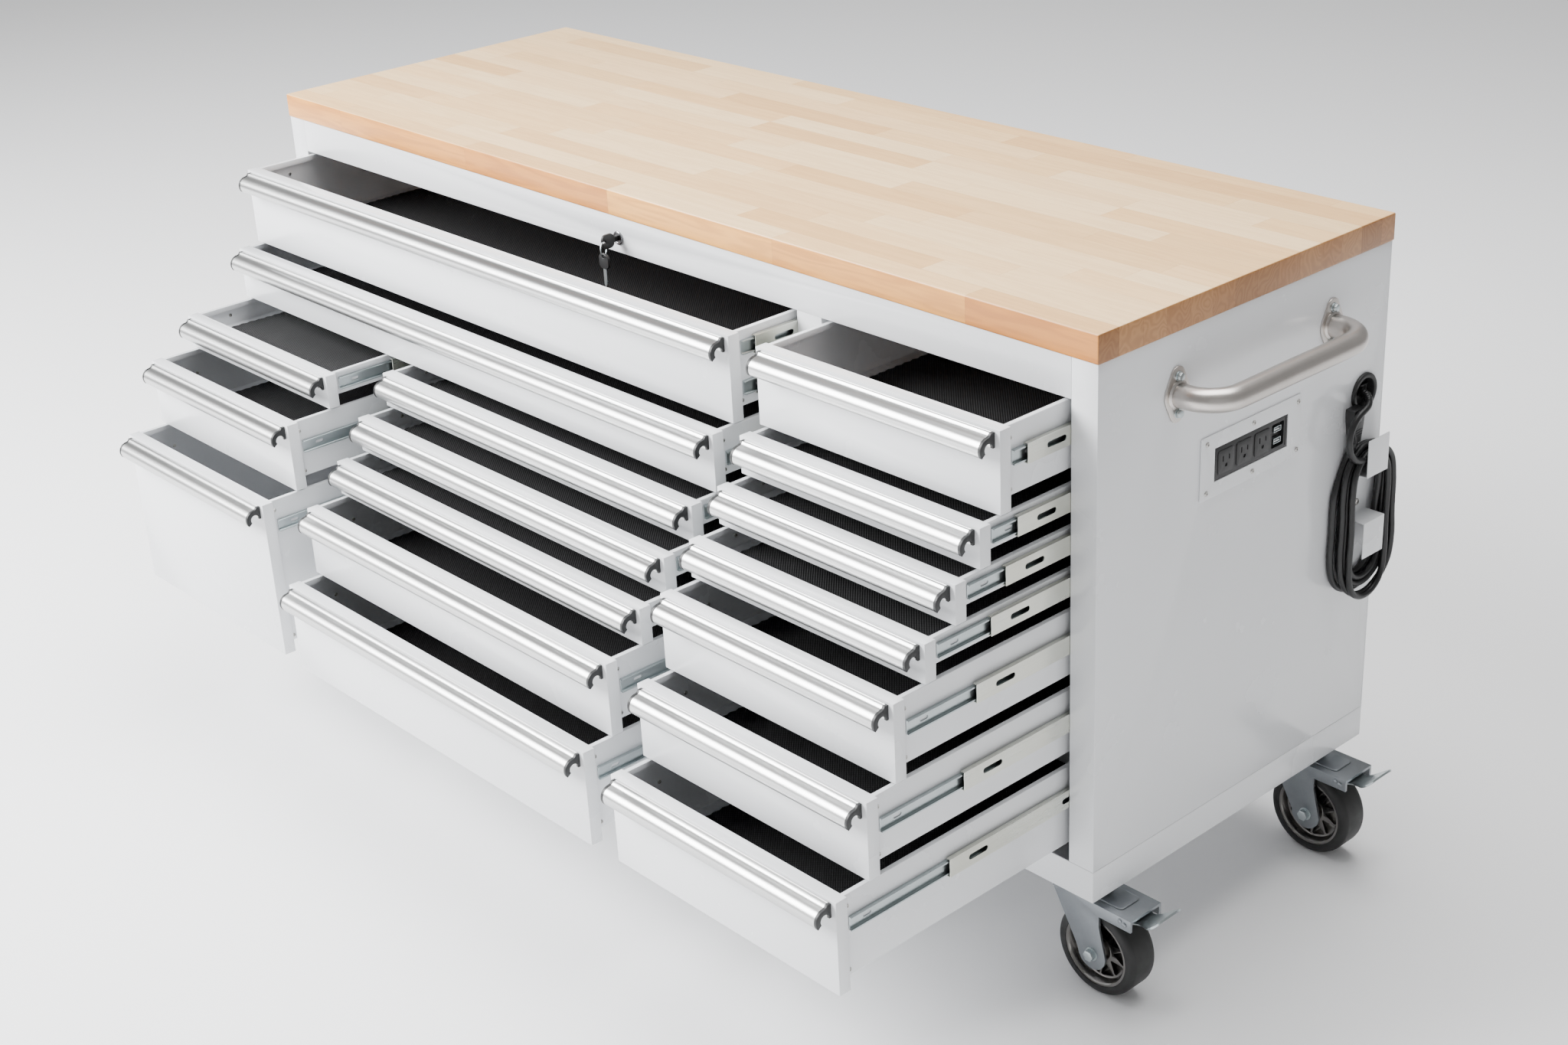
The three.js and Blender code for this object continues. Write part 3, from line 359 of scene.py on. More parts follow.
class Recipe:
    """A material's nodes, added one after another."""

    def __init__(self, name: str) -> None:
        """Starts with a Principled shader and an output."""
        self.material = bpy.data.materials.new(name)
        self.material.use_nodes = True
        self.tree = self.material.node_tree
        self.tree.nodes.clear()
        self.shader = self.tree.nodes.new("ShaderNodeBsdfPrincipled")
        output = self.tree.nodes.new("ShaderNodeOutputMaterial")
        self.tree.links.new(self.shader.outputs[0], output.inputs[0])
        self.place = self.add("ShaderNodeTexCoord").outputs["Object"]

    def add(self, kind: str, inputs: dict | None = None, **settings: object) -> bpy.types.Node:
        """Adds a node.

        Args:
            kind: the node's type name.
            inputs: values or sockets for its inputs, by name or number.
            settings: its own settings.

        Returns:
            The node.
        """
        node = self.tree.nodes.new(kind)
        for key, value in settings.items():
            setattr(node, key, value)
        for key, value in (inputs or {}).items():
            self.feed(node.inputs[key], value)
        return node

    def feed(self, socket: bpy.types.NodeSocket, value: object) -> None:
        """Links a socket, or sets its value."""
        if isinstance(value, bpy.types.NodeSocket):
            self.tree.links.new(value, socket)
        else:
            socket.default_value = value

    def set(self, **values: object) -> None:
        """Sets the shader's inputs, with underscores for spaces."""
        for key, value in values.items():
            if key.endswith(("Color", "Tint")) and not isinstance(value, bpy.types.NodeSocket):
                value = (*value, 1)
            self.feed(self.shader.inputs[key.replace("_", " ")], value)

    def sum(self, kind: str, a: object, b: object = 0.0, c: object = 0.0) -> bpy.types.NodeSocket:
        """One step of arithmetic."""
        return self.add("ShaderNodeMath", {0: a, 1: b, 2: c}, operation=kind).outputs[0]

    def stretched(self, scale: Sequence[float], place: object = None) -> bpy.types.NodeSocket:
        """Coordinates multiplied along each axis."""
        inputs = {0: place or self.place, 1: tuple(scale)}
        return self.add("ShaderNodeVectorMath", inputs, operation="MULTIPLY").outputs[0]

    def noise(self, scale: float, detail: float = 3, place: object = None, rough: float = 0.5) -> bpy.types.NodeSocket:
        """Soft noise from 0 to 1."""
        inputs = {"Vector": place or self.place, "Scale": scale, "Detail": detail, "Roughness": rough}
        return self.add("ShaderNodeTexNoise", inputs).outputs[0]

    def ramp(self, factor: object, stops: Sequence[tuple[float, Sequence[float]]]) -> bpy.types.NodeSocket:
        """A colour picked along stops of (place, colour)."""
        node = self.add("ShaderNodeValToRGB", {0: factor})
        elements = node.color_ramp.elements
        while len(elements) < len(stops):
            elements.new(0.5)
        for element, (at, colour) in zip(elements, stops):
            element.position = at
            element.color = (*colour, 1)
        return node.outputs[0]

    def between(self, factor: object, low: float, high: float) -> bpy.types.NodeSocket:
        """A value from 0 to 1 spread from low to high."""
        return self.add("ShaderNodeMapRange", {0: factor, 3: low, 4: high}).outputs[0]

    def mixed(self, factor: object, a: object, b: object, how: str = "MIX") -> bpy.types.NodeSocket:
        """Two colours mixed."""
        fill = lambda v: v if isinstance(v, bpy.types.NodeSocket) else (*v, 1)
        inputs = {0: factor, 6: fill(a), 7: fill(b)}
        return self.add("ShaderNodeMix", inputs, data_type="RGBA", blend_type=how).outputs[2]

    def rough_up(self, *layers: tuple[object, float, float]) -> None:
        """Stacks bumps on the surface.

        Args:
            layers: each a height, its strength, and its depth in metres.
        """
        normal = None
        for height, strength, depth in layers:
            inputs = {"Height": height, "Strength": strength, "Distance": depth}
            if normal:
                inputs["Normal"] = normal
            normal = self.add("ShaderNodeBump", inputs).outputs[0]
        self.set(Normal=normal)


@dataclass(frozen=True)
class Finish:
    """What every finish knows: its name and the record's slot it is taken from."""

    name: str
    slot: str

    def material(self) -> bpy.types.Material:
        """The finish's material, made once."""
        return bpy.data.materials.get(self.name) or self.mix()

    def mix(self) -> bpy.types.Material:
        """Makes the material."""
        raise NotImplementedError


@dataclass(frozen=True)
class PowderCoat(Finish):
    """Gloss powder coat: faint orange peel, faint clouding."""

    colour: tuple[float, float, float] = (0.80, 0.81, 0.825)
    shade: tuple[float, float, float] = (0.76, 0.772, 0.79)

    def mix(self) -> bpy.types.Material:
        """Makes the coat."""
        r = Recipe(self.name)
        clouds = r.noise(2.2, 4)
        r.set(Base_Color=r.mixed(clouds, self.colour, self.shade))
        r.set(Roughness=r.between(r.noise(9, 5), 0.2, 0.32), Coat_Weight=0.35, Coat_Roughness=0.12)
        r.rough_up((r.noise(420, 2), 0.06, 0.0004), (r.noise(38, 2), 0.03, 0.001))
        return r.material


@dataclass(frozen=True)
class Metal(Finish):
    """A metal with drawn streaks, clouding and fine scratches."""

    colour: tuple[float, float, float]
    shade: tuple[float, float, float]
    streaks: tuple[float, float, float]
    smooth: float = 0.22
    rough: float = 0.4
    grain: float = 0.12
    clouds: float = 12

    def mix(self) -> bpy.types.Material:
        """Makes the metal."""
        r = Recipe(self.name)
        lines = r.noise(1, 4, r.stretched(self.streaks), 0.7)
        clouds = r.noise(self.clouds, 5, rough=0.6)
        tone = r.mixed(clouds, self.colour, self.shade)
        faint = r.between(lines, 0.9, 1.06)
        grey = r.add("ShaderNodeCombineColor", {0: faint, 1: faint, 2: faint}).outputs[0]
        r.set(Base_Color=r.mixed(1.0, tone, grey, "MULTIPLY"), Metallic=1.0)
        r.set(Roughness=r.between(r.sum("ADD", r.sum("MULTIPLY", lines, 0.6), r.sum("MULTIPLY", clouds, 0.4)), self.smooth, self.rough))
        r.rough_up((lines, self.grain, 0.0002))
        return r.material


@dataclass(frozen=True)
class Moulding(Finish):
    """Moulded plastic or rubber: fine speckle in colour, gloss and surface."""

    colour: tuple[float, float, float]
    shade: tuple[float, float, float]
    smooth: float = 0.4
    rough: float = 0.6
    speckle: float = 900
    depth: float = 0.25

    def mix(self) -> bpy.types.Material:
        """Makes the moulding."""
        r = Recipe(self.name)
        fine = r.noise(self.speckle, 2)
        r.set(Base_Color=r.mixed(r.noise(24, 4), self.colour, self.shade))
        r.set(Roughness=r.between(r.noise(60, 4), self.smooth, self.rough))
        r.rough_up((fine, self.depth, 0.0003))
        return r.material


@dataclass(frozen=True)
class RibbedFoam(Finish):
    """Non-slip drawer liner: black foam whose cords cross in a fine weave."""

    pitch: float = 0.0044

    def mix(self) -> bpy.types.Material:
        """Makes the foam."""
        r = Recipe(self.name)
        turn = 2 * math.pi / self.pitch
        parts = r.add("ShaderNodeSeparateXYZ", {0: r.place})
        across = r.sum("SINE", r.sum("MULTIPLY", parts.outputs[1], turn))
        along = r.sum("SINE", r.sum("MULTIPLY", parts.outputs[0], turn))
        knots = r.sum("MULTIPLY", across, along)
        raised = r.between(r.sum("ADD", r.sum("MULTIPLY", knots, 0.5), 0.5), 0, 1)
        # The base colour is darker in the hollows between the cords than on their tops: painted shade in the hollows.
        r.set(Base_Color=r.ramp(raised, [(0.25, (0.001, 0.001, 0.0012)), (0.8, (0.010, 0.010, 0.011))]))
        r.set(Roughness=r.between(raised, 0.9, 0.62))
        r.rough_up((raised, 0.9, 0.0012), (r.noise(700, 2), 0.3, 0.0003))
        return r.material


@dataclass(frozen=True)
class ButcherBlock(Finish):
    """Glued staves of pale wood, each with its own tone and grain; the ends show end grain, painted darker for end
    grain and painted shade together, and the top is painted paler as painted light from above.
    """

    stave_width: float = 0.045
    stave_length: float = 0.36

    def mix(self) -> bpy.types.Material:
        """Makes the block."""
        r = Recipe(self.name)
        at = r.add("ShaderNodeSeparateXYZ", {0: r.place}).outputs
        across = r.sum("DIVIDE", r.sum("ADD", at[1], 9.0), self.stave_width)
        row = r.sum("FLOOR", across)
        slide = r.add("ShaderNodeTexWhiteNoise", {"W": row}, noise_dimensions="1D").outputs["Value"]
        along = r.sum("ADD", r.sum("DIVIDE", at[0], self.stave_length), r.sum("MULTIPLY", slide, 7.0))
        column = r.sum("FLOOR", along)
        stave = r.add("ShaderNodeCombineXYZ", {0: row, 1: column}).outputs[0]
        chance = r.add("ShaderNodeTexWhiteNoise", {"Vector": stave}, noise_dimensions="3D").outputs
        apart = r.add("ShaderNodeVectorMath", {0: chance["Color"], 1: (5, 5, 5)}, operation="MULTIPLY").outputs[0]
        shifted = r.add("ShaderNodeVectorMath", {0: r.place, 1: apart}, operation="ADD").outputs[0]

        figure = r.noise(1, 3, r.stretched((2.2, 26, 26), shifted), 0.55)
        lines = r.sum("SINE", r.sum("MULTIPLY", figure, 46.0))
        pores = r.noise(1, 2, r.stretched((70, 1500, 1500), shifted), 0.6)
        rings_at = r.stretched((0.2, 34, 30), shifted)
        rings = r.sum("SINE", r.sum("MULTIPLY", r.noise(1, 1, rings_at, 0.3), 62.0))

        # Masks for faces that look up and faces that look along X: they steer the grain and also the painted light and
        # shade below.
        facing = r.add("ShaderNodeSeparateXYZ", {0: r.add("ShaderNodeNewGeometry").outputs["Normal"]}).outputs
        end = r.sum("GREATER_THAN", r.sum("ABSOLUTE", facing[0]), 0.6)
        top = r.sum("GREATER_THAN", facing[2], 0.6)

        # The top's ramp is paler than the edges': painted light from above.
        flat = r.ramp(chance["Value"], [(0.0, (0.76, 0.45, 0.19)), (0.35, (0.88, 0.60, 0.31)), (0.7, (0.93, 0.67, 0.37)), (1.0, (0.84, 0.52, 0.235))])
        edge = r.ramp(chance["Value"], [(0.0, (0.62, 0.23, 0.03)), (0.4, (0.80, 0.35, 0.055)), (0.75, (0.88, 0.42, 0.08)), (1.0, (0.70, 0.28, 0.04))])
        # The ends' ramp is darker partly for end grain and partly as painted shade.
        ends = r.ramp(chance["Value"], [(0.0, (0.34, 0.15, 0.045)), (0.5, (0.50, 0.245, 0.085)), (1.0, (0.42, 0.19, 0.06))])
        wood = r.mixed(end, r.mixed(top, edge, flat), ends)
        strength = r.sum("ADD", r.sum("MULTIPLY", r.sum("SUBTRACT", 1.0, top), 0.10), 0.06)
        marks = r.sum("ADD", r.sum("MULTIPLY", lines, r.sum("SUBTRACT", 1.0, end)), r.sum("MULTIPLY", rings, end))
        shade = r.sum("SUBTRACT", 1.0, r.sum("MULTIPLY", r.sum("ADD", r.sum("MULTIPLY", marks, 0.5), 0.5), strength))
        shade = r.sum("MULTIPLY", shade, r.between(pores, 0.93, 1.04))
        seam_across = r.sum("GREATER_THAN", r.sum("ABSOLUTE", r.sum("SUBTRACT", r.sum("FRACT", across), 0.5)), 0.492)
        seam_along = r.sum("GREATER_THAN", r.sum("ABSOLUTE", r.sum("SUBTRACT", r.sum("FRACT", along), 0.5)), 0.4988)
        seams = r.sum("MULTIPLY", r.sum("MAXIMUM", seam_across, seam_along), 0.16)
        shade = r.sum("SUBTRACT", shade, seams)
        grey = r.add("ShaderNodeCombineColor", {0: shade, 1: r.sum("POWER", shade, 1.35), 2: r.sum("POWER", shade, 1.7)}).outputs[0]
        r.set(Base_Color=r.mixed(1.0, wood, grey, "MULTIPLY"))
        r.set(Roughness=r.between(pores, 0.34, 0.46), Coat_Weight=0.25, Coat_Roughness=0.2)
        r.rough_up((pores, 0.12, 0.0004), (r.sum("SUBTRACT", 1.0, seams), 0.2, 0.0004))
        return r.material


WHITE = PowderCoat("white powder coat", "white_paint")
WOOD = ButcherBlock("clear-coated butcher block", "butcher_block")
PULL = Metal("satin aluminium", "pull_aluminium", (0.60, 0.60, 0.595), (0.54, 0.545, 0.54), (3, 900, 900), 0.26, 0.38, 0.06)
STAINLESS = Metal("brushed stainless", "stainless_steel", (0.66, 0.62, 0.585), (0.50, 0.465, 0.435), (260, 7, 260), 0.24, 0.42, 0.16, 26)
ZINC = Metal("clear zinc plate", "bright_zinc", (0.70, 0.72, 0.69), (0.61, 0.60, 0.50), (200, 4, 200), 0.2, 0.38, 0.08, 9)
BRIGHT_ZINC = Metal("blue zinc plate", "bright_zinc", (0.56, 0.61, 0.62), (0.42, 0.47, 0.48), (120, 120, 120), 0.24, 0.42, 0.1, 30)
# Dark zinc plate for the fork, ball race and brake cover; its colour is also darkened as painted shade for their place
# under the cabinet.
DARK_ZINC_AND_SHADE = Metal("dark zinc plate and painted shade", "zinc_plate", (0.33, 0.35, 0.37), (0.22, 0.235, 0.25), (120, 120, 120), 0.3, 0.5, 0.12, 26)
SCREW = Metal("nickel screws", "bright_zinc", (0.62, 0.61, 0.58), (0.42, 0.41, 0.39), (500, 500, 500), 0.2, 0.36, 0.1, 300)
GUNMETAL = Metal("gunmetal rim", "zinc_plate", (0.25, 0.24, 0.225), (0.16, 0.155, 0.15), (80, 80, 80), 0.16, 0.3, 0.05, 40)
NICKEL = Metal("dark nickel lock", "lock_metal", (0.34, 0.34, 0.35), (0.2, 0.2, 0.21), (300, 300, 300), 0.14, 0.3, 0.06, 120)
TYRE = Moulding("black tyre", "wheel_rubber", (0.0048, 0.0048, 0.0048), (0.0104, 0.0104, 0.01), 0.42, 0.66, 420, 0.3)
BLACK = Moulding("black plastic", "black_plastic", (0.0048, 0.0048, 0.0052), (0.0076, 0.0076, 0.008), 0.42, 0.58)
CAP = Moulding("end cap plastic", "black_plastic", (0.0104, 0.0108, 0.0116), (0.0144, 0.0148, 0.0156), 0.4, 0.52)
SOCKET = Moulding("outlet plastic", "black_plastic", (0.012, 0.012, 0.0124), (0.0152, 0.0152, 0.016), 0.34, 0.48)
CORD = Moulding("cord jacket", "cord_jacket", (0.0036, 0.0036, 0.004), (0.0064, 0.0064, 0.0068), 0.36, 0.5, 1200, 0.15)
PLUG = Moulding("plug moulding", "plug_plastic", (0.0048, 0.0048, 0.0052), (0.008, 0.008, 0.0084), 0.32, 0.46)
USB_WHITE = Moulding("white insert", "white_paint", (0.7, 0.7, 0.7), (0.64, 0.64, 0.65), 0.3, 0.4)
FOAM = RibbedFoam("ribbed liner foam", "black_plastic")


def dressed(
    piece: bpy.types.Object,
    name: str,
    finish: Finish,
    body: str,
    stands_for: Sequence[str] = (),
    smooth: float = 34,
) -> bpy.types.Object:
    """Names, shades and paints a piece, and lets it ride on its body.

    Args:
        piece: the finished shape.
        name: its name.
        finish: its finish.
        body: the CAD body it moves with, or nothing where it rides on none.
        stands_for: the CAD nodes it stands for.
        smooth: edges flatter than this, in degrees, are shaded smooth.

    Returns:
        The same piece.
    """
    piece.name = piece.data.name = name.replace(" ", "_")
    piece.data.materials.clear()
    piece.data.materials.append(finish.material())
    pick_up(piece)
    bpy.ops.object.shade_smooth_by_angle(angle=math.radians(smooth))
    if body:
        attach(piece, body)
    if stands_for:
        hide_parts(*stands_for)
    log.info("%s: %d faces, %s", name, len(piece.data.polygons), finish.name)
    return piece


def sheet_grid(
    across: int, along: int, place: Callable[[float, float], Sequence[float]], thickness: float
) -> bpy.types.Object:
    """A grid laid onto a surface and given a thickness.

    Args:
        across: faces one way.
        along: faces the other way.
        place: gives the point for two fractions from 0 to 1.
        thickness: the sheet's thickness in millimetres, grown against its normals.

    Returns:
        The closed sheet.
    """
    lay_down()
    bpy.ops.mesh.primitive_grid_add(x_subdivisions=across, y_subdivisions=along, size=1)
    grid = bpy.context.object
    for vertex in grid.data.vertices:
        vertex.co = place(vertex.co.x + 0.5, vertex.co.y + 0.5)
    solidify = grid.modifiers.new("thickness", "SOLIDIFY")
    solidify.thickness = thickness * MM
    solidify.offset = -1
    bpy.ops.object.modifier_apply(modifier=solidify.name)
    return mend(grid)


def tube(points: Sequence[Sequence[float]], radii: Sequence[float], sides: int = 6) -> bpy.types.Object:
    """A closed tube along points, its radius changing from one to the next.

    Args:
        points: the centreline, in metres.
        radii: the radius at each point, in millimetres.
        sides: how finely its round is drawn.

    Returns:
        The tube, as a mesh.
    """
    curve = line(points, 1.0, sides)
    for point, radius in zip(curve.data.splines[0].bezier_points, radii):
        point.radius = radius * MM
    pick_up(curve)
    bpy.ops.object.convert(target="MESH")
    return mend(bpy.context.object)


def line(points: Sequence[Sequence[float]], radius: float, sides: int = 6, steps: int = 4) -> bpy.types.Object:
    """An open round curve through points, in metres."""
    lay_down()
    bpy.ops.curve.primitive_bezier_curve_add(location=(0, 0, 0))
    curve = bpy.context.object
    spline = curve.data.splines[0]
    spline.bezier_points.add(len(points) - len(spline.bezier_points))
    for knot, point in zip(spline.bezier_points, points):
        knot.co = point
        knot.handle_left_type = knot.handle_right_type = "AUTO"
    curve.data.bevel_depth = radius
    curve.data.bevel_resolution = sides
    curve.data.resolution_u = steps
    curve.data.use_fill_caps = True
    return curve


def smoothed(t: float) -> float:
    """A fraction eased at both ends."""
    return t * t * (3 - 2 * t)


def pan_screw(radius: float = 3.6, height: float = 2.2) -> bpy.types.Object:
    """A cross-slotted pan head standing on Z = 0, facing +Z."""
    dome = [(0.01, 0), (radius, 0), (radius, height * 0.45), (radius * 0.82, height * 0.85), (0.01, height)]
    head = turned(dome, "Z", (0, 0, 0), 16)
    arm, half = radius * 0.55, radius * 0.13
    quarter = [(arm, -half), (arm, half), (half, half)]
    cross = []
    for turn in range(4):
        angle = math.radians(90 * turn)
        for x, y in quarter:
            cross.append(
                ((x * math.cos(angle) - y * math.sin(angle)) * MM, (x * math.sin(angle) + y * math.cos(angle)) * MM, height * 0.45 * MM)
            )
    return drilled(head, pulled(cross, (0, 0, height * MM)))


def hex_bolt(across: float, height: float, washer: float) -> bpy.types.Object:
    """A chamfered hexagon head on a round washer, standing on Z = 0 and facing +Z."""
    flat = across / 2 / math.cos(math.radians(30))
    corners = [(x * MM, y * MM, 1.2 * MM) for x, y in arc((0, 0), flat, 0, 300, 5)]
    head = bevelled(pulled(corners, (0, 0, height * MM)), 0.7, 2, 50)
    ring = turned([(0.01, 0), (washer, 0), (washer, 1.0), (washer - 0.3, 1.3), (0.01, 1.3)], "Z", (0, 0, 0), 24)
    return gathered([head, ring])


class Facing(Enum):
    """Which way a part made facing +Z is turned."""

    OUT_RIGHT = Matrix.Rotation(math.pi / 2, 4, "Y")
    OUT_LEFT = Matrix.Rotation(-math.pi / 2, 4, "Y")
    FRONT = Matrix.Rotation(math.pi / 2, 4, "X")
    BACK = Matrix.Rotation(-math.pi / 2, 4, "X")
    UP = Matrix.Identity(4)

    def at(self, place: Sequence[float]) -> Matrix:
        """The turn followed by a move."""
        return Matrix.Translation(place) @ self.value


# ---- The studio ----


@dataclass
class Studio:
    """Camera, floor and soft light."""

    lens: float = 52.56
    azimuth: float = 48.85
    elevation: float = 25.10
    roll: float = -3.07
    stand: tuple[float, float, float] = (2.5727, -2.2637, 0.9663)

    def build(self) -> None:
        """Sets the camera up, lays the floor and hangs the lights."""
        self.camera()
        self.floor()
        self.light("key light", (-2.9, -3.4, 3.4), 3.2, 1000, (0.985, 0.992, 1.0))
        self.light("side light", (3.6, -1.6, 1.6), 2.4, 4, (0.93, 0.96, 1.0))
        self.light("top light", (0.3, 0.6, 4.2), 3.0, 230, (1, 1, 1))
        world = bpy.data.worlds.new("white room")
        world.use_nodes = True
        world.node_tree.nodes["Background"].inputs[0].default_value = (1, 1, 1, 1)
        world.node_tree.nodes["Background"].inputs[1].default_value = 0.38
        bpy.context.scene.world = world

    def camera(self) -> None:
        """Stands the camera off the worktop's right front corner."""
        top = Extent.of("worktop")
        place = Vector((top.middle.x, top.middle.y, top.high.z)) + Vector(self.stand)
        turn, rise, roll = (math.radians(a) for a in (self.azimuth, self.elevation, self.roll))
        back = Vector((math.sin(turn) * math.cos(rise), -math.cos(turn) * math.cos(rise), math.sin(rise)))
        right = Vector((math.cos(turn), math.sin(turn), 0))
        up = back.cross(right)
        across = math.cos(roll) * right + math.sin(roll) * up
        upward = -math.sin(roll) * right + math.cos(roll) * up
        lay_down()
        bpy.ops.object.camera_add(location=place)
        camera = bpy.context.object
        camera.matrix_world = Matrix.Translation(place) @ Matrix((across, upward, back)).transposed().to_4x4()
        camera.data.lens = self.lens
        camera.data.sensor_width = 36
        camera.data.clip_end = 100
        bpy.context.scene.camera = camera

    def floor(self) -> None:
        """Lays a wide pale floor."""
        lay_down()
        bpy.ops.mesh.primitive_plane_add(size=24, location=(0, 0, -0.0005))
        floor = settle(bpy.context.object)
        floor.name = "studio_floor"
        recipe = Recipe("pale floor")
        recipe.set(Base_Color=(0.94, 0.94, 0.945), Roughness=0.85)
        floor.data.materials.append(recipe.material)
        floor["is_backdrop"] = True

    def light(self, name: str, place: Sequence[float], size: float, power: float, colour: Sequence[float]) -> None:
        """Hangs a soft square light that faces the bench."""
        lay_down()
        bpy.ops.object.light_add(type="AREA", location=place)
        lamp = bpy.context.object
        lamp.name = name
        lamp.data.size = size
        lamp.data.energy = power
        lamp.data.color = colour
        lamp.rotation_euler = (Vector((0, 0, 0.5)) - Vector(place)).to_track_quat("-Z", "Y").to_euler()


# ---- The mains lead ----


@dataclass
class PowerLead:
    """The mains lead: out of its grommet, wound on its bracket, and ending in its plug."""

    radius: float = 4.75
    length: float = 3.8
    high_centre: float = 367.6
    low_centre: float = 484.0
    middle: float = 53.0
    hung_low: float = 22.0

    route = [
        (-8.7, 49, 245), (0, 50.4, 245.5), (8.5, 53.4, 246.4), (15.6, 58.6, 248.1), (21.2, 65.4, 250.2),
        (24.8, 73.2, 252.7), (25.8, 81.9, 255.4), (25.8, 95, 260.8), (25.8, 105.5, 270.5), (25.8, 112, 284.4),
        (25.8, 112.4, 299.7), (25.8, 106, 315), (25.8, 93, 326.5), (25.8, 75, 331), (25.8, 62, 331.6),
    ]
    # Radius and standing-off at the top, right high, right low, bottom, left low and left high of each turn.
    turns = [
        [(36, 25.8), (38, 25.8), (40, 25.8), (41, 25.8), (42, 25.8), (44, 25.8)],
        [(46, 25.8), (50, 25.8), (56, 25.8), (61.4, 20.9), (51.6, 16), (51.6, 16)],
        [(51.6, 16), (51.6, 16), (51.6, 16), (46.7, 16), (41.8, 16), (41.8, 16)],
        [(41.8, 16), (41.8, 16), (41.8, 16), (36.9, 16), (32, 16), (32, 16)],
        [(32, 16), (32, 16), (32, 6.2), (32, 6.2), (32, 6.2), (32, 6.2)],
        [(36.9, 6.2), (41.8, 6.2), (41.8, 6.2), (41.8, 6.2), (41.8, 6.2), (41.8, 6.2)],
        [(46.7, 6.2), (51.6, 6.2), (51.6, 6.2), (56.5, 6.2), (61.4, 6.2)],
    ]
    angles = [90, 0, 0, -90, -180, -180, -270]
    steps = [3, 2, 3, 3, 2, 3]

    def place(self, out: float, inward: float, down: float) -> Vector:
        """A point out from the end panel, in from the worktop's back edge and down from its face."""
        panel, top = Extent.of("right_side_panel"), Extent.of("worktop")
        return Vector((panel.high.x + out * MM, top.high.y - inward * MM, top.high.z - down * MM))

    def wound(self) -> list[tuple[float, float, float]]:
        """The wound turns, from the first one's top to the last one's lower left."""
        stations = [(station, radius, out) for turn in self.turns for station, (radius, out) in enumerate(turn)]
        points = []
        for index, ((station, r0, o0), (_, r1, o1)) in enumerate(zip(stations, stations[1:])):
            for step in range(self.steps[station]):
                t = step / self.steps[station]
                angle = math.radians(self.angles[station] + (self.angles[station + 1] - self.angles[station]) * t)
                radius, out = r0 + (r1 - r0) * smoothed(t), o0 + (o1 - o0) * smoothed(t)
                sag = self.hung_low if index < 6 else 0
                low = {0: 0, 1: t, 2: 1, 3: 1, 4: 1 - t, 5: 0}[station]
                down = self.high_centre + (self.low_centre + sag - self.high_centre) * low
                points.append((out, self.middle - radius * math.cos(angle), down - radius * math.sin(angle)))
        return points

    def tail(self) -> list[tuple[float, float, float]]:
        """The last stretch, up the left side and over to the plug's neck."""
        plug = Extent.of("cord_plug")
        panel, top = Extent.of("right_side_panel"), Extent.of("worktop")
        neck = (
            9.0 + plug.low.x / MM - panel.high.x / MM,
            (top.high.y - plug.middle.y) / MM,
            (top.high.z - plug.low.z) / MM,
        )
        left, rise = self.middle + 61.4, 88.0
        points = [(6.2, left, self.low_centre), (6.2, left, self.low_centre - 47)]
        for step in range(8):
            t = step / 7
            down = neck[2] + rise * (1 - t)
            out = 6.2 + (neck[0] - 6.2) * smoothed(max(0, 1 - (down - neck[2]) / 32))
            points.append((out, left + (neck[1] - left) * smoothed(t), down))
        return points + [(neck[0], neck[1], neck[2] - 5)]

    def build(self) -> None:
        """Winds the lead and fits its relief, grommet and plug."""
        points = [self.place(*p) for p in self.route + self.wound() + self.tail()]
        cord = line(points, self.radius * MM, 5, 4)
        cord.name = "mains_lead"
        cord.data.materials.append(CORD.material())
        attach(cord, "cabinet")
        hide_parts("power_cord", "cord_coil")
        walked = sum((b - a).length for a, b in zip(points, points[1:]))
        log.info("mains lead: %d points, about %.3f m", len(points), walked)
        plug = self.plug()
        relief = self.relief(points[:5], 7.4, "grommet relief")
        neck = self.relief(list(reversed(points))[1:4], 6.6, "plug relief")
        self.grommet()

    def relief(self, points: Sequence[Vector], widest: float, name: str) -> bpy.types.Object:
        """A ribbed sleeve that tapers along the lead."""
        path = [a.lerp(b, t / 4) for a, b in zip(points, points[1:]) for t in range(4)] + [points[-1]]
        last = len(path) - 1
        radii = [widest + (self.radius + 0.35 - widest) * i / last - 0.5 * (i % 2) * (i < last) for i in range(last + 1)]
        radii = [max(r, self.radius + 0.2) for r in radii]
        return dressed(tube(path, radii), name, CORD, "cabinet")

    def plug(self) -> bpy.types.Object:
        """A moulded plug that narrows to its neck, with ribs for the fingers and its pin in a slot."""
        box = Extent.of("cord_plug")
        x, y, low = box.low.x + 9 * MM, box.middle.y, box.low.z
        shape = [(5.6, 0), (6.8, 4.5), (8.2, 11), (10.6, 24), (12.2, 36), (12.5, 42), (12.5, 49.5)]
        outline = [(x - 8 * MM, y + s * w * MM, low + h * MM) for s in (1, -1) for w, h in (shape if s > 0 else shape[::-1])]
        body = bevelled(pulled(outline, (16 * MM, 0, 0)), 1.6, 3, 30)
        grips = [
            bevelled(block((x - 8.7 * MM, y - w * MM, low + h * MM), (x + 8.7 * MM, y + w * MM, low + (h + 1.6) * MM)), 0.6)
            for w, h in ((6.4, 11), (7.2, 14.6), (8, 18.2))
        ]
        piece = gathered([body, *grips])
        dressed(piece, "plug body", PLUG, "cabinet", ["cord_plug"])
        face = x + 8 * MM
        lip = bevelled(block((face - 1 * MM, y - 4 * MM, low + 31 * MM), (face + 0.5 * MM, y + 4 * MM, low + 46 * MM)), 0.7, 3)
        dressed(lip, "plug pin slot", PLUG, "cabinet")
        pin = rod((face - 0.4 * MM, y, low + 38.7 * MM), "Z", 2.4 * MM, 9.5 * MM, 20)
        dressed(bevelled(pin, 1.0, 3), "plug pins", BRIGHT_ZINC, "cabinet")
        return piece

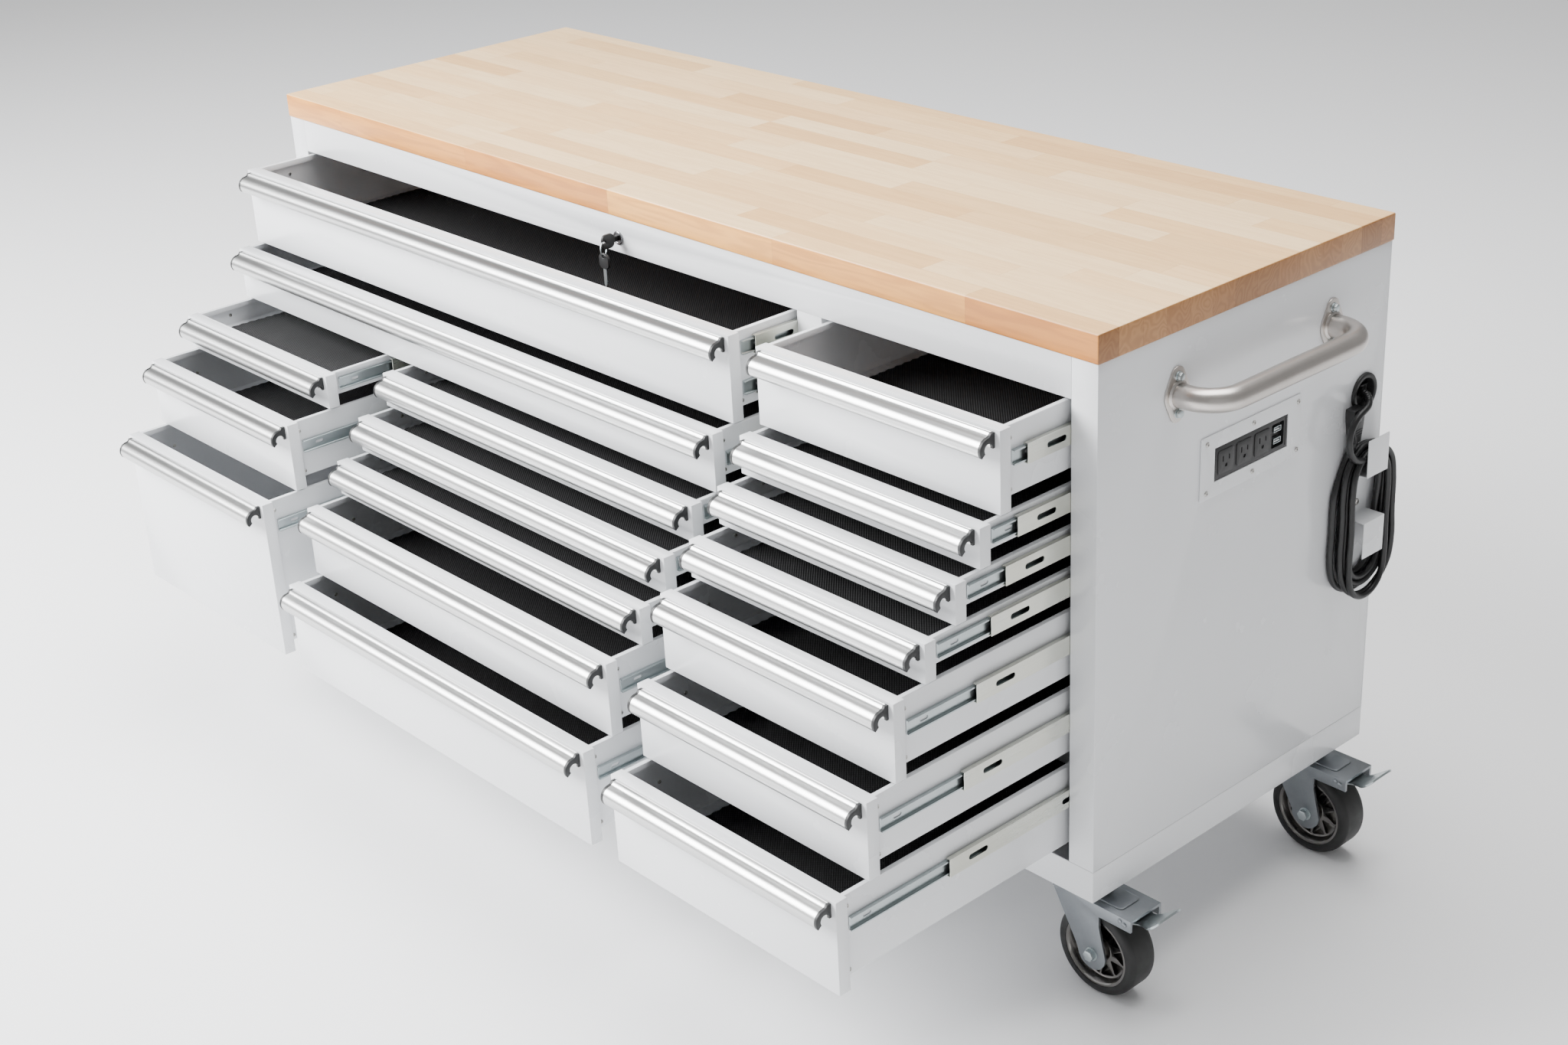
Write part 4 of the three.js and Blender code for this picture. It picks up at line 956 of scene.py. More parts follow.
    def grommet(self) -> None:
        """A collared ring with a sunken web that the lead comes through."""
        box = Extent.of("cord_grommet")
        place = (box.low.x + 12 * MM, box.middle.y, box.middle.z)
        profile = [
            (5.1, -12), (23, -12), (23, 0.3), (28, 0.3), (28, 2.6), (27.4, 3.6), (26.2, 4.3),
            (22.6, 4.3), (21.2, 3.6), (20.4, 2), (20, -8.4), (19.4, -9), (5.1, -9),
        ]
        ring = turned(profile, "X", place, 56)
        keeper = block(
            (place[0] - 9.2 * MM, place[1] - 19 * MM, place[2] + 5 * MM), (place[0] - 5 * MM, place[1] + 19 * MM, place[2] + 7.5 * MM)
        )
        dressed(gathered([ring, bevelled(keeper, 0.6)]), "grommet", BLACK, "cabinet", ["cord_grommet"])


# ---- Worktop and cabinet ----


@dataclass
class Worktop:
    """The butcher-block top."""

    edge: float = 2.5

    def build(self) -> None:
        """Shapes the block and eases its edges."""
        box = Extent.of("worktop")
        top = bevelled(block(box.low, box.high), self.edge, 4)
        dressed(top, "worktop", WOOD, "cabinet", ["worktop"])


@dataclass
class Cabinet:
    """The painted sheet-metal body, its rear panel's pressings and its screws."""

    fold: float = 0.8
    screw_inset: float = 14.0
    screw_pitch: int = 6

    def build(self) -> None:
        """Softens the folded sheets and fits the rear panel."""
        for node in ("left_side_panel", "right_side_panel", "base_frame", "front_top_rail", "inner_frame", "cord_bracket"):
            dressed(cad_copy(node, self.fold), node.replace("_", " "), WHITE, "cabinet", [node])
        self.rear()
        self.bracket_screw()

    def rear(self) -> None:
        """A rear panel with three shallow pressed fields, screwed round its edge."""
        box = Extent.of("back_panel")
        panel = block(box.low, box.high)
        thirds = (box.size.x - 0.16) / 3
        fields = []
        for index in range(3):
            left = box.low.x + 0.05 + index * (thirds + 0.03)
            place = (left, box.high.y - 0.0006, box.low.z + 0.06), (left + thirds, box.high.y + 0.0012, box.high.z - 0.06)
            fields.append(bevelled(block(*place), 1.1, 3))
        dressed(gathered([bevelled(panel, 0.4), *fields]), "rear panel", WHITE, "cabinet", ["back_panel"])
        screw = pan_screw(4.2, 2.0)
        heads = []
        inset = self.screw_inset * MM
        for step in range(self.screw_pitch + 1):
            x = box.low.x + inset + (box.size.x - 2 * inset) * step / self.screw_pitch
            for z in (box.low.z + inset, box.high.z - inset):
                heads.append(copied(screw, Facing.BACK.at((x, box.high.y, z))))
        for z in (box.low.z + box.size.z * t for t in (0.33, 0.66)):
            for x in (box.low.x + inset, box.high.x - inset):
                heads.append(copied(screw, Facing.BACK.at((x, box.high.y, z))))
        thrown_away(screw)
        dressed(gathered(heads), "rear panel screws", SCREW, "cabinet")

    def bracket_screw(self) -> None:
        """The screw that holds the lead's bracket."""
        box = Extent.of("cord_bracket")
        screw = pan_screw(5, 2.6)
        place = (box.low.x + 2.0 * MM, box.middle.y, box.low.z + 0.072)
        dressed(copied(screw, Facing.OUT_RIGHT.at(place)), "bracket screw", SCREW, "cabinet")
        thrown_away(screw)


# ---- Drawers ----


@dataclass
class PullProfile:
    """The pull's section, out from the drawer's face and up from the pull's top, in millimetres."""

    strip: float = 6.0
    hook_out: float = 11.0
    hook_down: float = 19.0
    hook: float = 14.5
    grip: float = 7.5
    foot: float = 20.0

    def outline(self, proud: float = 0.0) -> list[Point]:
        """The section, or one that stands proud of it by a little."""
        hook_at = (self.hook_out, -self.hook_down)
        outer = arc(hook_at, self.hook + proud, 80, -38, 16)
        inner = arc(hook_at, self.grip - proud, -38, 180, 16)
        crest = outer[0]
        brow = [self.bend(t / 5, (self.strip, proud), (self.strip + 2, crest[1]), crest) for t in range(5)]
        strip = [(0.3, proud), (1.7, proud), (2.0, proud - 0.4), (2.3, proud)]
        foot = [(self.hook_out - self.grip + proud, -self.foot - proud), (0.3, -self.foot - proud)]
        return strip + brow + outer + inner + foot

    def bend(self, t: float, a: Point, b: Point, c: Point) -> Point:
        """A point on the brow's curve."""
        return tuple((1 - t) ** 2 * a[i] + 2 * t * (1 - t) * b[i] + t * t * c[i] for i in (0, 1))


class Height(Enum):
    """How far each kind of drawer's slides hang below its tray's top, in millimetres."""

    SMALL = (19.0,)
    DEEP = (43.0,)
    WIDE_DEEP = (24.0, 82.0)

    @classmethod
    def of(cls, name: str, height: float) -> "Height":
        """The kind of a drawer from its name and its front's height in metres."""
        if name == "wide_drawer_1":
            return cls.WIDE_DEEP
        return cls.SMALL if height < 0.07 else cls.DEEP


@dataclass
class SlideSections:
    """The three members of a ball-bearing slide, made once at the origin and copied to every drawer.

    X is out from the tray's side, Y runs back from the member's front end, and Z is up from its middle.
    """

    length: float = 520.0
    middle_length: float = 500.0

    def channel(self, web: Point, lip: float, half: float, length: float, sheet: float = 1.2) -> bpy.types.Object:
        """A channel whose flanges run from its web to a lip."""
        near, far = sorted(web)
        turn = 1 if lip > far else -1
        base, inner = (near, far) if turn > 0 else (far, near)
        section = [
            (base, -half), (lip, -half), (lip, -half + 2.4), (lip - turn * sheet, -half + 2.4), (lip - turn * sheet, -half + sheet),
            (inner, -half + sheet), (inner, half - sheet), (lip - turn * sheet, half - sheet), (lip - turn * sheet, half - 2.4),
            (lip, half - 2.4), (lip, half), (base, half),
        ]
        piece = pulled([(x * MM, 0, z * MM) for x, z in section], (0, length * MM, 0))
        return bevelled(piece, 0.3, 1, 50)

    def oblong(self, y: float, long: float, high: float) -> bpy.types.Object:
        """A cutter for an oblong slot through a web."""
        points = rounded(long, high, high / 2 - 0.01, 5)
        return pulled([(-0.002, (y + a) * MM, b * MM) for a, b in points], (0.02, 0, 0))

    def build(self) -> None:
        """Makes the three members and the middle one's stop."""
        self.inner = self.channel((0.3, 1.5), 6.0, 10.0, self.length)
        for y in (30, 190, 350, 480):
            self.inner = drilled(self.inner, self.oblong(y, 14, 5))
        self.middle = self.channel((7.4, 8.6), 2.0, 13.5, self.middle_length)
        for y in (52, 230, 420):
            self.middle = drilled(self.middle, self.oblong(y, 35, 8))
        self.outer = self.channel((11.2, 12.4), 4.0, 17.5, self.length)
        stop = [(7.0, -8), (2.6, -8), (2.6, 8), (7.0, 8)]
        self.stop = bevelled(pulled([(x * MM, 0.003, z * MM) for x, z in stop], (0, 0.014, 0)), 1.2, 2)

    def clear(self) -> None:
        """Throws the patterns away."""
        thrown_away(self.inner, self.middle, self.outer, self.stop)


@dataclass
class Drawer:
    """One drawer: its shell, pull, liner, slides and screws."""

    name: str
    slides: SlideSections
    cap: float = 4.0
    tray_inset: float = 5.0
    liner_edge: float = 26.0
    has_liner: bool = True

    def build(self) -> None:
        """Measures the drawer and makes everything on it."""
        self.pull_node = self.name.replace("drawer", "pull")
        self.box = Extent.of(self.name)
        self.title = self.name.replace("_", " ")
        self.front = Extent.of("front_top_rail").low.y
        self.open = self.front - self.box.low.y
        self.kind = Height.of(self.name, self.box.size.z)
        dressed(cad_copy(self.name, 0.7), self.title, WHITE, self.name, [self.name])
        self.pull()
        if self.has_liner:
            self.liner()
        self.hang()
        self.screws()

    def pull(self) -> None:
        """The hooked extrusion and its two end caps."""
        box = Extent.of(self.pull_node)
        face = box.high.y + 0.3 * MM
        profile = PullProfile()
        place = lambda x, points: [(x, face - out * MM, box.high.z + up * MM) for out, up in points]
        bar = pulled(place(box.low.x + self.cap * MM, profile.outline()), (box.size.x - 2 * self.cap * MM, 0, 0))
        dressed(bar, self.pull_node.replace("_", " "), PULL, self.name, [self.pull_node], 40)
        capped = profile.outline(0.35)
        caps = []
        for x in (box.low.x - 0.5 * MM, box.high.x - (self.cap - 0.0) * MM):
            cap = pulled(place(x, capped), ((self.cap + 0.5) * MM, 0, 0))
            caps.append(bevelled(cap, 0.3, 2, 40))
        dressed(gathered(caps), f"{self.title} pull caps", CAP, self.name)

    def liner(self) -> None:
        """A cut length of ribbed foam, laid in the tray with its selvedge on the left."""
        low = self.box.low + Vector((self.tray_inset + self.liner_edge, 21.5, 19.6)) * MM
        high = self.box.high - Vector((self.tray_inset + 2.6, 3.5, 0)) * MM
        lift = 0.007 if self.name == "wide_drawer_1" else 0.0015
        rows = 136

        def place(u: float, v: float) -> Vector:
            """A point on the mat's upper side."""
            scallop = 0.0013 * math.sin(v * rows * math.pi / 2) if u < 1e-6 else 0
            corner = lift * smoothed(max(0, 1 - u * 5)) * smoothed(max(0, 1 - v * 4))
            wave = 0.00035 * (math.sin(u * 23 + v * 5) + math.sin(v * 17 - u * 7) + 2)
            return Vector((low.x + (high.x - low.x) * u + scallop, low.y + (high.y - low.y) * v, low.z + 0.0024 + wave + corner))

        mat = sheet_grid(24, rows, place, 2.2)
        dressed(mat, f"{self.title} liner", FOAM, self.name, smooth=50)

    def sides(self) -> list[tuple[str, Matrix]]:
        """The two tray sides, with the transform that puts a slide member on each."""
        right = self.box.high.x - self.tray_inset * MM
        left = self.box.low.x + self.tray_inset * MM
        mirror = Matrix.Scale(-1, 4, (1, 0, 0))
        return [("right", Matrix.Translation((right, 0, 0))), ("left", Matrix.Translation((left, 0, 0)) @ mirror)]

    def hang(self) -> None:
        """Hangs the drawer on its slides: inner members on the tray, outer ones in the cabinet."""
        tray_front = self.box.low.y + 0.0245
        middle_out = self.open / 2 + 0.016
        inner, outer = [], []
        for side, base in self.sides():
            middle = []
            for down in self.kind.value:
                z = self.box.high.z - down * MM
                inner.append(copied(self.slides.inner, base @ Matrix.Translation((0, tray_front, z))))
                outer.append(copied(self.slides.outer, base @ Matrix.Translation((0, self.front + 0.0215, z))))
                place = base @ Matrix.Translation((0, self.front - middle_out, z))
                middle.append(copied(self.slides.middle, place))
                stop = copied(self.slides.stop, place)
                dressed(stop, f"{self.title} {side} stop {down:.0f}", BLACK, "")
                self.share_out(stop)
            group = gathered(middle)
            dressed(group, f"{self.title} {side} middle slide", ZINC, "", smooth=30)
            self.share_out(group)
        dressed(gathered(inner), f"{self.title} inner slides", BRIGHT_ZINC, self.name, smooth=30)
        dressed(gathered(outer), f"{self.title} outer slides", ZINC, "cabinet", smooth=30)

    def share_out(self, piece: bpy.types.Object) -> None:
        """Puts a middle member's place into its mesh."""
        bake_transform(piece)

    def screws(self) -> None:
        """Up to two screws at each tray side's front edge, where the slides leave room, and three inside its left
        wall.
        """
        screw = pan_screw(3.0, 1.6)
        heads = []
        top, low = self.box.high.z - 0.017, self.box.low.z + 0.026
        for x, facing in ((self.box.high.x - self.tray_inset * MM, Facing.OUT_RIGHT), (self.box.low.x + self.tray_inset * MM, Facing.OUT_LEFT)):
            for z in {round(top, 5), round(low, 5)}:
                if all(abs(z - (self.box.high.z - down * MM)) > 0.0145 for down in self.kind.value):
                    heads.append(copied(screw, facing.at((x, self.box.low.y + 0.0225, z))))
        inner = self.box.low.x + (self.tray_inset + 1.5) * MM
        for y in (0.075, 0.30, 0.50):
            z = self.box.high.z - min(self.kind.value) * MM
            heads.append(copied(screw, Facing.OUT_RIGHT.at((inner, self.box.low.y + y, z))))
        thrown_away(screw)
        dressed(gathered(heads), f"{self.title} screws", SCREW, self.name)


# ---- Lock, push handle and outlet ----


@dataclass
class Lock:
    """The cabinet's lock, with its key in it and a second key on the ring."""

    ring_radius: float = 11.0

    def build(self) -> None:
        """Turns the barrel, shapes the key, and hangs the ring and spare key."""
        box = Extent.of("lock_key")
        face = Extent.of("front_top_rail").low.y
        x, z = box.middle.x, box.middle.z
        barrel = [(0.01, 24), (7, 24), (7, -0.3), (10.5, -0.3), (10.5, -2), (9.6, -2.8), (7.4, -2.8), (6.8, -2.2), (0.01, -2.2)]
        body = turned(barrel, "Y", (x, face, z), 40)
        dressed(body, "lock barrel", NICKEL, "key", ["lock_key"])
        bow = self.key(Vector((x, face - 2.3 * MM, z)))
        dressed(bow, "key bow", BLACK, "key")
        hole = Vector((x, face - 29.2 * MM, z))
        lay_down()
        bpy.ops.mesh.primitive_torus_add(
            location=hole + Vector((0, 0, -self.ring_radius * MM + 1.5 * MM)), rotation=(0, math.pi / 2, 0.5),
            major_radius=self.ring_radius * MM, minor_radius=0.8 * MM, major_segments=40, minor_segments=10,
        )
        ring = settle(bpy.context.object)
        dressed(ring, "key ring", BRIGHT_ZINC, "key")
        self.spare(hole + Vector((0, 0, -2 * self.ring_radius * MM + 0.0005)))

    def bow(self, centre: Vector) -> bpy.types.Object:
        """A key's rounded plastic bow, standing in the Y-Z plane, its blade side towards +Y."""
        points = [(centre.x - 2.2 * MM, centre.y + y * MM, centre.z + z * MM) for y, z in rounded(23, 22, 8, 6)]
        bow = pulled(points, (4.4 * MM, 0, 0))
        hole = rod((centre.x, centre.y - 7.5 * MM, centre.z), "X", 2.4 * MM, 0.02, 20)
        return bevelled(drilled(bow, hole), 0.9, 3, 40)

    def key(self, root: Vector) -> bpy.types.Object:
        """The key in the lock: its neck and bow."""
        neck = block(root + Vector((-1.2, -8, -4)) * MM, root + Vector((1.2, 0, 4)) * MM)
        return gathered([bevelled(neck, 0.4), self.bow(root - Vector((0, 18.2, 0)) * MM)])

    def spare(self, top: Vector) -> None:
        """The spare key, hanging flat to the drawer fronts so that the top pull passes behind it."""
        bow = self.bow(Vector((0, 0, 0)))
        hung = Matrix.Rotation(math.radians(90), 4, "Z") @ Matrix.Rotation(math.radians(-90), 4, "X")
        bow.data.transform(Matrix.Translation(top + Vector((0, 0, -7.0)) * MM) @ hung)
        dressed(bow, "spare key bow", BLACK, "key")
        teeth = [(-3.6, 0), (3.6, 0), (3.6, -17), (2.4, -18.5), (3.4, -20), (2.0, -22), (3.2, -24), (1.6, -27), (-1.4, -28.5), (-3.6, -26)]
        points = [(top.x + across * MM, top.y - 0.9 * MM, top.z + (z - 17.5) * MM) for across, z in teeth]
        blade = bevelled(pulled(points, (0, 1.8 * MM, 0)), 0.2, 1)
        dressed(blade, "spare key blade", BRIGHT_ZINC, "key")


@dataclass
class PushHandle:
    """A bent stainless tube welded to two oval flanges, each on two bolts."""

    tube_radius: float = 16.0
    bend: float = 46.0
    bolt_reach: float = 25.0

    def build(self) -> None:
        """Bends the tube and fits the flanges, collars and bolts."""
        box = Extent.of("push_handle")
        face = box.low.x
        reach = box.high.x - self.tube_radius * MM
        z = box.middle.z
        low, high = box.low.y + self.tube_radius * MM, box.high.y - self.tube_radius * MM
        flange_spans = self.ends(box)
        low, high = flange_spans
        r = self.bend * MM
        front = [(reach - r + r * math.sin(a), low + r - r * math.cos(a)) for a in (math.pi / 2 * i / 8 for i in range(9))]
        back = [(x, low + high - y) for x, y in reversed(front)]
        path = [(face + 0.0002, low), *front, (reach, (low + high) / 2), *back, (face + 0.0002, high)]
        bar = line([(x, y, z) for x, y in path], self.tube_radius * MM, 10, 5)
        pick_up(bar)
        bpy.ops.object.convert(target="MESH")
        bar = mend(bpy.context.object)
        pieces, bolts = [bar], []
        bolt = hex_bolt(10, 5.2, 6.6)
        for y in (low, high):
            outline = self.flange()
            plate = pulled([(face, y + a * MM, z + b * MM) for a, b in outline], (0.003, 0, 0))
            collar = [(16.2, 2.8), (19.4, 2.8), (19.4, 4.2), (17.6, 5.6), (16.2, 6.4)]
            pieces += [bevelled(plate, 0.7, 3), turned(collar, "X", (face, y, z), 48)]
            for side in (-1, 1):
                place = (face + 0.003, y, z + side * self.bolt_reach * MM)
                bolts.append(copied(bolt, Facing.OUT_RIGHT.at(place)))
        thrown_away(bolt)
        dressed(gathered(pieces), "push handle", STAINLESS, "cabinet", ["push_handle"], 30)
        dressed(gathered(bolts), "push handle bolts", BRIGHT_ZINC, "cabinet")

    def ends(self, box: Extent) -> tuple[float, float]:
        """Where the tube meets the panel, from the flanges at its box's ends."""
        overhang = max(a for a, _ in self.flange()) * MM
        return box.low.y + overhang, box.high.y - overhang

    def flange(self) -> list[Point]:
        """An oval, taller than it is wide, round three circles in a column."""
        middle, end = 24.0, 13.0
        lean = math.degrees(math.acos((middle - end) / self.bolt_reach))
        return (
            arc((0, 0), middle, lean - 90, 90 - lean, 10) + arc((0, self.bolt_reach), end, 90 - lean, 90 + lean, 12)
            + arc((0, 0), middle, 90 + lean, 270 - lean, 10) + arc((0, -self.bolt_reach), end, 270 - lean, 270 + lean, 12)
        )


@dataclass
class Outlet:
    """The power outlet: a screwed plate round a moulded block of sockets and charging ports."""

    socket: float = 33.0
    pitch: float = 38.5

    def build(self) -> None:
        """Makes the plate, its screws, the block, its sockets and its ports."""
        plate, core = Extent.of("outlet_plate"), Extent.of("outlet_block")
        corners = rounded(plate.size.y / MM, plate.size.z / MM, 3.5, 4)
        face = pulled([(plate.low.x, plate.middle.y + a * MM, plate.middle.z + b * MM) for a, b in corners], (plate.size.x, 0, 0))
        gap = Vector((0.01, 0.0003, 0.0003))
        face = drilled(face, block(core.low - gap, core.high + gap))
        dressed(bevelled(face, 0.5, 3), "outlet plate", WHITE, "cabinet", ["outlet_plate"])
        screw = pan_screw(3.4, 2.1)
        heads = []
        for y in (-94.5, 2.5, 98.4):
            for z in (-34.5, 34.5):
                place = (plate.high.x, plate.middle.y + y * MM, plate.middle.z + z * MM)
                heads.append(copied(screw, Facing.OUT_RIGHT.at(place)))
        thrown_away(screw)
        dressed(gathered(heads), "outlet screws", SCREW, "cabinet")
        self.block(core)

    def block(self, core: Extent) -> None:
        """The moulded block, its three sockets and the well of its ports."""
        body = bevelled(block(core.low, core.high), 0.8, 2)
        x, z = core.high.x, core.middle.z
        well_y = core.high.y - 0.021
        well = pulled([(x - 0.006, well_y + a * MM, z + b * MM) for a, b in rounded(26, 34, 2, 3)], (0.02, 0, 0))
        body = drilled(body, well)
        pads = []
        for index in range(3):
            y = core.low.y + (23 + self.pitch * index) * MM
            pad = pulled([(x - 0.002, y + a * MM, z + b * MM) for a, b in rounded(self.socket, self.socket, 4, 4)], (0.0034, 0, 0))
            pad = bevelled(pad, 0.6, 2)
            for a, b, wide, high in ((-6.4, 4, 2.0, 8.2), (6.4, 4, 2.0, 6.8)):
                pad = drilled(pad, block((x - 0.0012, y + (a - wide / 2) * MM, z + (b - high / 2) * MM), (x + 0.01, y + (a + wide / 2) * MM, z + (b + high / 2) * MM)))
            ground = arc((0, -6.2), 2.5, 180, 360, 8) + [(2.5, -3.8), (-2.5, -3.8)]
            pad = drilled(pad, pulled([(x - 0.0012, y + a * MM, z + b * MM) for a, b in ground], (0.02, 0, 0)))
            pads.append(pad)
        line_at = core.high.y - 0.0045
        seam = bevelled(block((x - 0.001, line_at, core.low.z + 0.003), (x + 0.0006, line_at + 0.0012, core.high.z - 0.003)), 0.2, 1)
        dressed(gathered([body, *pads, seam]), "outlet block", SOCKET, "cabinet", ["outlet_block"])
        shells, tongues = [], []
        for side in (-1, 1):
            middle = z + side * 8.2 * MM
            outer = [(well_y + a * MM, middle + b * MM) for a, b in rounded(15.5, 7.5, 0.6, 2)]
            shell = pulled([(x - 0.0055, a, b) for a, b in outer], (0.005, 0, 0))
            inner = [(well_y + a * MM, middle + b * MM) for a, b in rounded(13.9, 5.9, 0.3, 2)]
            shells.append(drilled(shell, pulled([(x - 0.005, a, b) for a, b in inner], (0.02, 0, 0))))
            tongue = block((x - 0.0052, well_y - 0.0058, middle - 0.0017), (x - 0.0012, well_y + 0.0058, middle + 0.0001))
            tongues.append(bevelled(tongue, 0.3, 1))
        dressed(gathered(shells), "charging port shells", BRIGHT_ZINC, "cabinet")
        dressed(gathered(tongues), "charging port tongues", USB_WHITE, "cabinet")


# ---- Casters ----


class CasterKind(Enum):
    """The two kinds of caster under the bench."""

    SWIVEL = "swivel"
    RIGID = "rigid"


@dataclass
class Caster:
    """A caster: tyre, spoked rim, fork and axle, and on a swivel one a ball race and a foot brake."""

    corner: str
    kind: CasterKind
    spokes: int = 10

    def build(self) -> None:
        """Makes the wheel, the fork and, where there is one, the brake."""
        self.wheel_box = Extent.of(f"{self.corner}_wheel")
        self.fork_box = Extent.of(f"{self.corner}_fork")
        self.axle = self.wheel_box.middle
        self.title = self.corner.replace("_", " ")
        swivels = self.kind is CasterKind.SWIVEL
        self.body = f"{self.corner}_swivel" if swivels else "cabinet"
        self.wheel()
        self.fork()
        if swivels:
            self.race()
            self.brake()

    def wheel(self) -> None:
        """A round-shouldered tyre on a rim of cast spokes."""
        shoulder = [(59 + 9 * math.sin(a), 16 + 9 * math.cos(a)) for a in (math.pi / 2 * i / 6 for i in range(7))]
        half = [(53.5, 25), (54.5, 25.0), *shoulder]
        tyre = [(r, -a) for r, a in half] + [(68, 0)] + half[::-1] + [(53.5, 0)]
        piece = turned(tyre, "Y", self.axle, 72)
        dressed(piece, f"{self.title} tyre", TYRE, f"{self.corner}_wheel", [f"{self.corner}_wheel"], 40)
        side = [(6.4, 27), (9, 27), (9.6, 26), (16, 26), (17, 24.5), (18, 13.5), (20, 12.5), (43, 12.5), (45, 13.5), (48, 22), (50, 24.4), (53.4, 24.4)]
        rim = turned([(r, -a) for r, a in side] + side[::-1], "Y", self.axle, 60)
        cutters = []
        window = self.window()
        for index in range(self.spokes):
            turn = 2 * math.pi * index / self.spokes
            c, s = math.cos(turn), math.sin(turn)
            points = [(self.axle.x + (a * c - b * s) * MM, self.axle.y - 0.03, self.axle.z + (a * s + b * c) * MM) for a, b in window]
            cutters.append(pulled(points, (0, 0.06, 0)))
        rim = bevelled(drilled(rim, gathered(cutters)), 0.9, 2, 50)
        dressed(rim, f"{self.title} rim", GUNMETAL, f"{self.corner}_wheel", smooth=32)

    def window(self) -> list[Point]:
        """A rounded triangle between two spokes, its wide side by the rim."""
        corners = [((24.5, 0), 2.0, 110, 250), ((39.2, -8.4), 2.6, 250, 350), ((39.2, 8.4), 2.6, 10, 110)]
        return [p for centre, radius, start, end in corners for p in arc(centre, radius, start, end, 5)]

    def fork(self) -> None:
        """The pressed fork, with its axle bolt and nut."""
        dressed(cad_copy(f"{self.corner}_fork", 1.0), f"{self.title} fork", DARK_ZINC_AND_SHADE, self.body, [f"{self.corner}_fork"])
        bolt = hex_bolt(15, 7.5, 10)
        ends = [(Facing.FRONT, self.fork_box.low.y), (Facing.BACK, self.fork_box.high.y)]
        if self.kind is CasterKind.SWIVEL:
            ends = [(Facing.FRONT, self.axle.y - 32 * MM), (Facing.BACK, self.axle.y + 32 * MM)]
        bolts = [copied(bolt, facing.at((self.axle.x, y, self.axle.z))) for facing, y in ends]
        thrown_away(bolt)
        dressed(gathered(bolts), f"{self.title} axle bolts", BRIGHT_ZINC, self.body)
        pad_top = Extent.of("base_frame").low.z
        heads = []
        pad_bolt = hex_bolt(11, 5, 8)
        for x in (-42, 42):
            for y in (-38, 38):
                under = Vector((self.centre_x() + x * MM, self.axle.y + y * MM, pad_top))
                heads.append(copied(pad_bolt, Matrix.Translation(under) @ Matrix.Rotation(math.pi, 4, "X")))
        thrown_away(pad_bolt)
        dressed(gathered(heads), f"{self.title} pad bolts", BRIGHT_ZINC, "cabinet")

    def centre_x(self) -> float:
        """The middle of the caster's pad."""
        return self.axle.x - (35 * MM if self.kind is CasterKind.SWIVEL else 0)

    def race(self) -> None:
        """The ball race's rolled rings."""
        z = self.fork_box.high.z
        rings = [(34.2, -1.5), (36, -2.5), (38.5, -6), (38.9, -9), (37.4, -12), (34.5, -13.5), (33.9, -7)]
        ring = turned(rings, "Z", (self.centre_x(), self.axle.y, z), 56)
        dressed(ring, f"{self.title} ball race", DARK_ZINC_AND_SHADE, self.body, smooth=50)

    def brake(self) -> None:
        """The cover's raised panel and rivets, and the flared foot pedal."""
        top = 152 * MM
        x0, y = self.centre_x(), self.axle.y
        panel = [(x0 + (44 + a) * MM, y + b * MM, top - 0.0005) for a, b in rounded(66, 40, 6, 4)]
        raised = bevelled(pulled(panel, (0, 0, 0.0028)), 1.4, 3, 40)
        rivets = []
        for x, z in ((92, 143), (84, 146)):
            for facing, side in ((Facing.FRONT, -1), (Facing.BACK, 1)):
                head = turned([(0.01, 0), (3.6, 0), (3.4, 1.2), (2.4, 2.1), (0.01, 2.5)], "Z", (0, 0, 0), 16)
                rivets.append(copied(head, facing.at((x0 + x * MM, y + side * 32 * MM, z * MM))))
                thrown_away(head)
        dressed(gathered([raised, *rivets]), f"{self.title} brake cover panel", DARK_ZINC_AND_SHADE, self.body)
        self.pedal(x0 + 80 * MM, y, 142 * MM)

    def pedal(self, x: float, y: float, z: float) -> None:
        """A pressed foot pedal: narrow at its neck, flared and turned up at its tip."""
        stations = [
            (-2, 0.2, 23), (6, 0, 23.6), (14, 0, 21.5), (20, 0.3, 18), (26, 1.2, 17), (32, 3.2, 19.5),
            (38, 6.2, 24), (44, 9.9, 28), (50, 14, 30.5), (54, 17, 31), (58, 20, 28), (60.5, 22, 24),
        ]

        def place(u: float, v: float) -> Vector:
            """A point on the pedal's tread."""
            at = u * (len(stations) - 1)
            index = min(int(at), len(stations) - 2)
            a, b = stations[index], stations[index + 1]
            reach, rise, half = (a[k] + (b[k] - a[k]) * (at - index) for k in range(3))
            lip = 2.0 * abs(2 * v - 1) ** 6
            return Vector((x + reach * MM, y + (2 * v - 1) * half * MM, z + (rise + 1.5 - lip) * MM))

        tread = sheet_grid(33, 14, place, 3.0)
        hub = rod((x, y, z), "Y", 5 * MM, 56 * MM, 24)
        body = f"{self.corner}_brake_pedal"
        dressed(gathered([tread, bevelled(hub, 0.6)]), f"{self.title} brake pedal", BRIGHT_ZINC, body, [body], 40)


# ---- Putting it together ----


@dataclass
class Bench:
    """The whole workbench, built in the order that a maker would."""

    columns = {"wide": 2, "left": 3, "centre": 5, "right": 7}
    bare = ("left_drawer_3",)

    def build(self) -> None:
        """Builds every sub-assembly."""
        PowerLead().build()
        Worktop().build()
        Cabinet().build()
        slides = SlideSections()
        slides.build()
        for column, count in self.columns.items():
            for index in range(1, count + 1):
                name = f"{column}_drawer_{index}"
                Drawer(name, slides, has_liner=name not in self.bare).build()
        slides.clear()
        Lock().build()
        PushHandle().build()
        Outlet().build()
        for side in ("front", "back"):
            Caster(f"right_{side}", CasterKind.SWIVEL).build()
            Caster(f"left_{side}", CasterKind.RIGID).build()


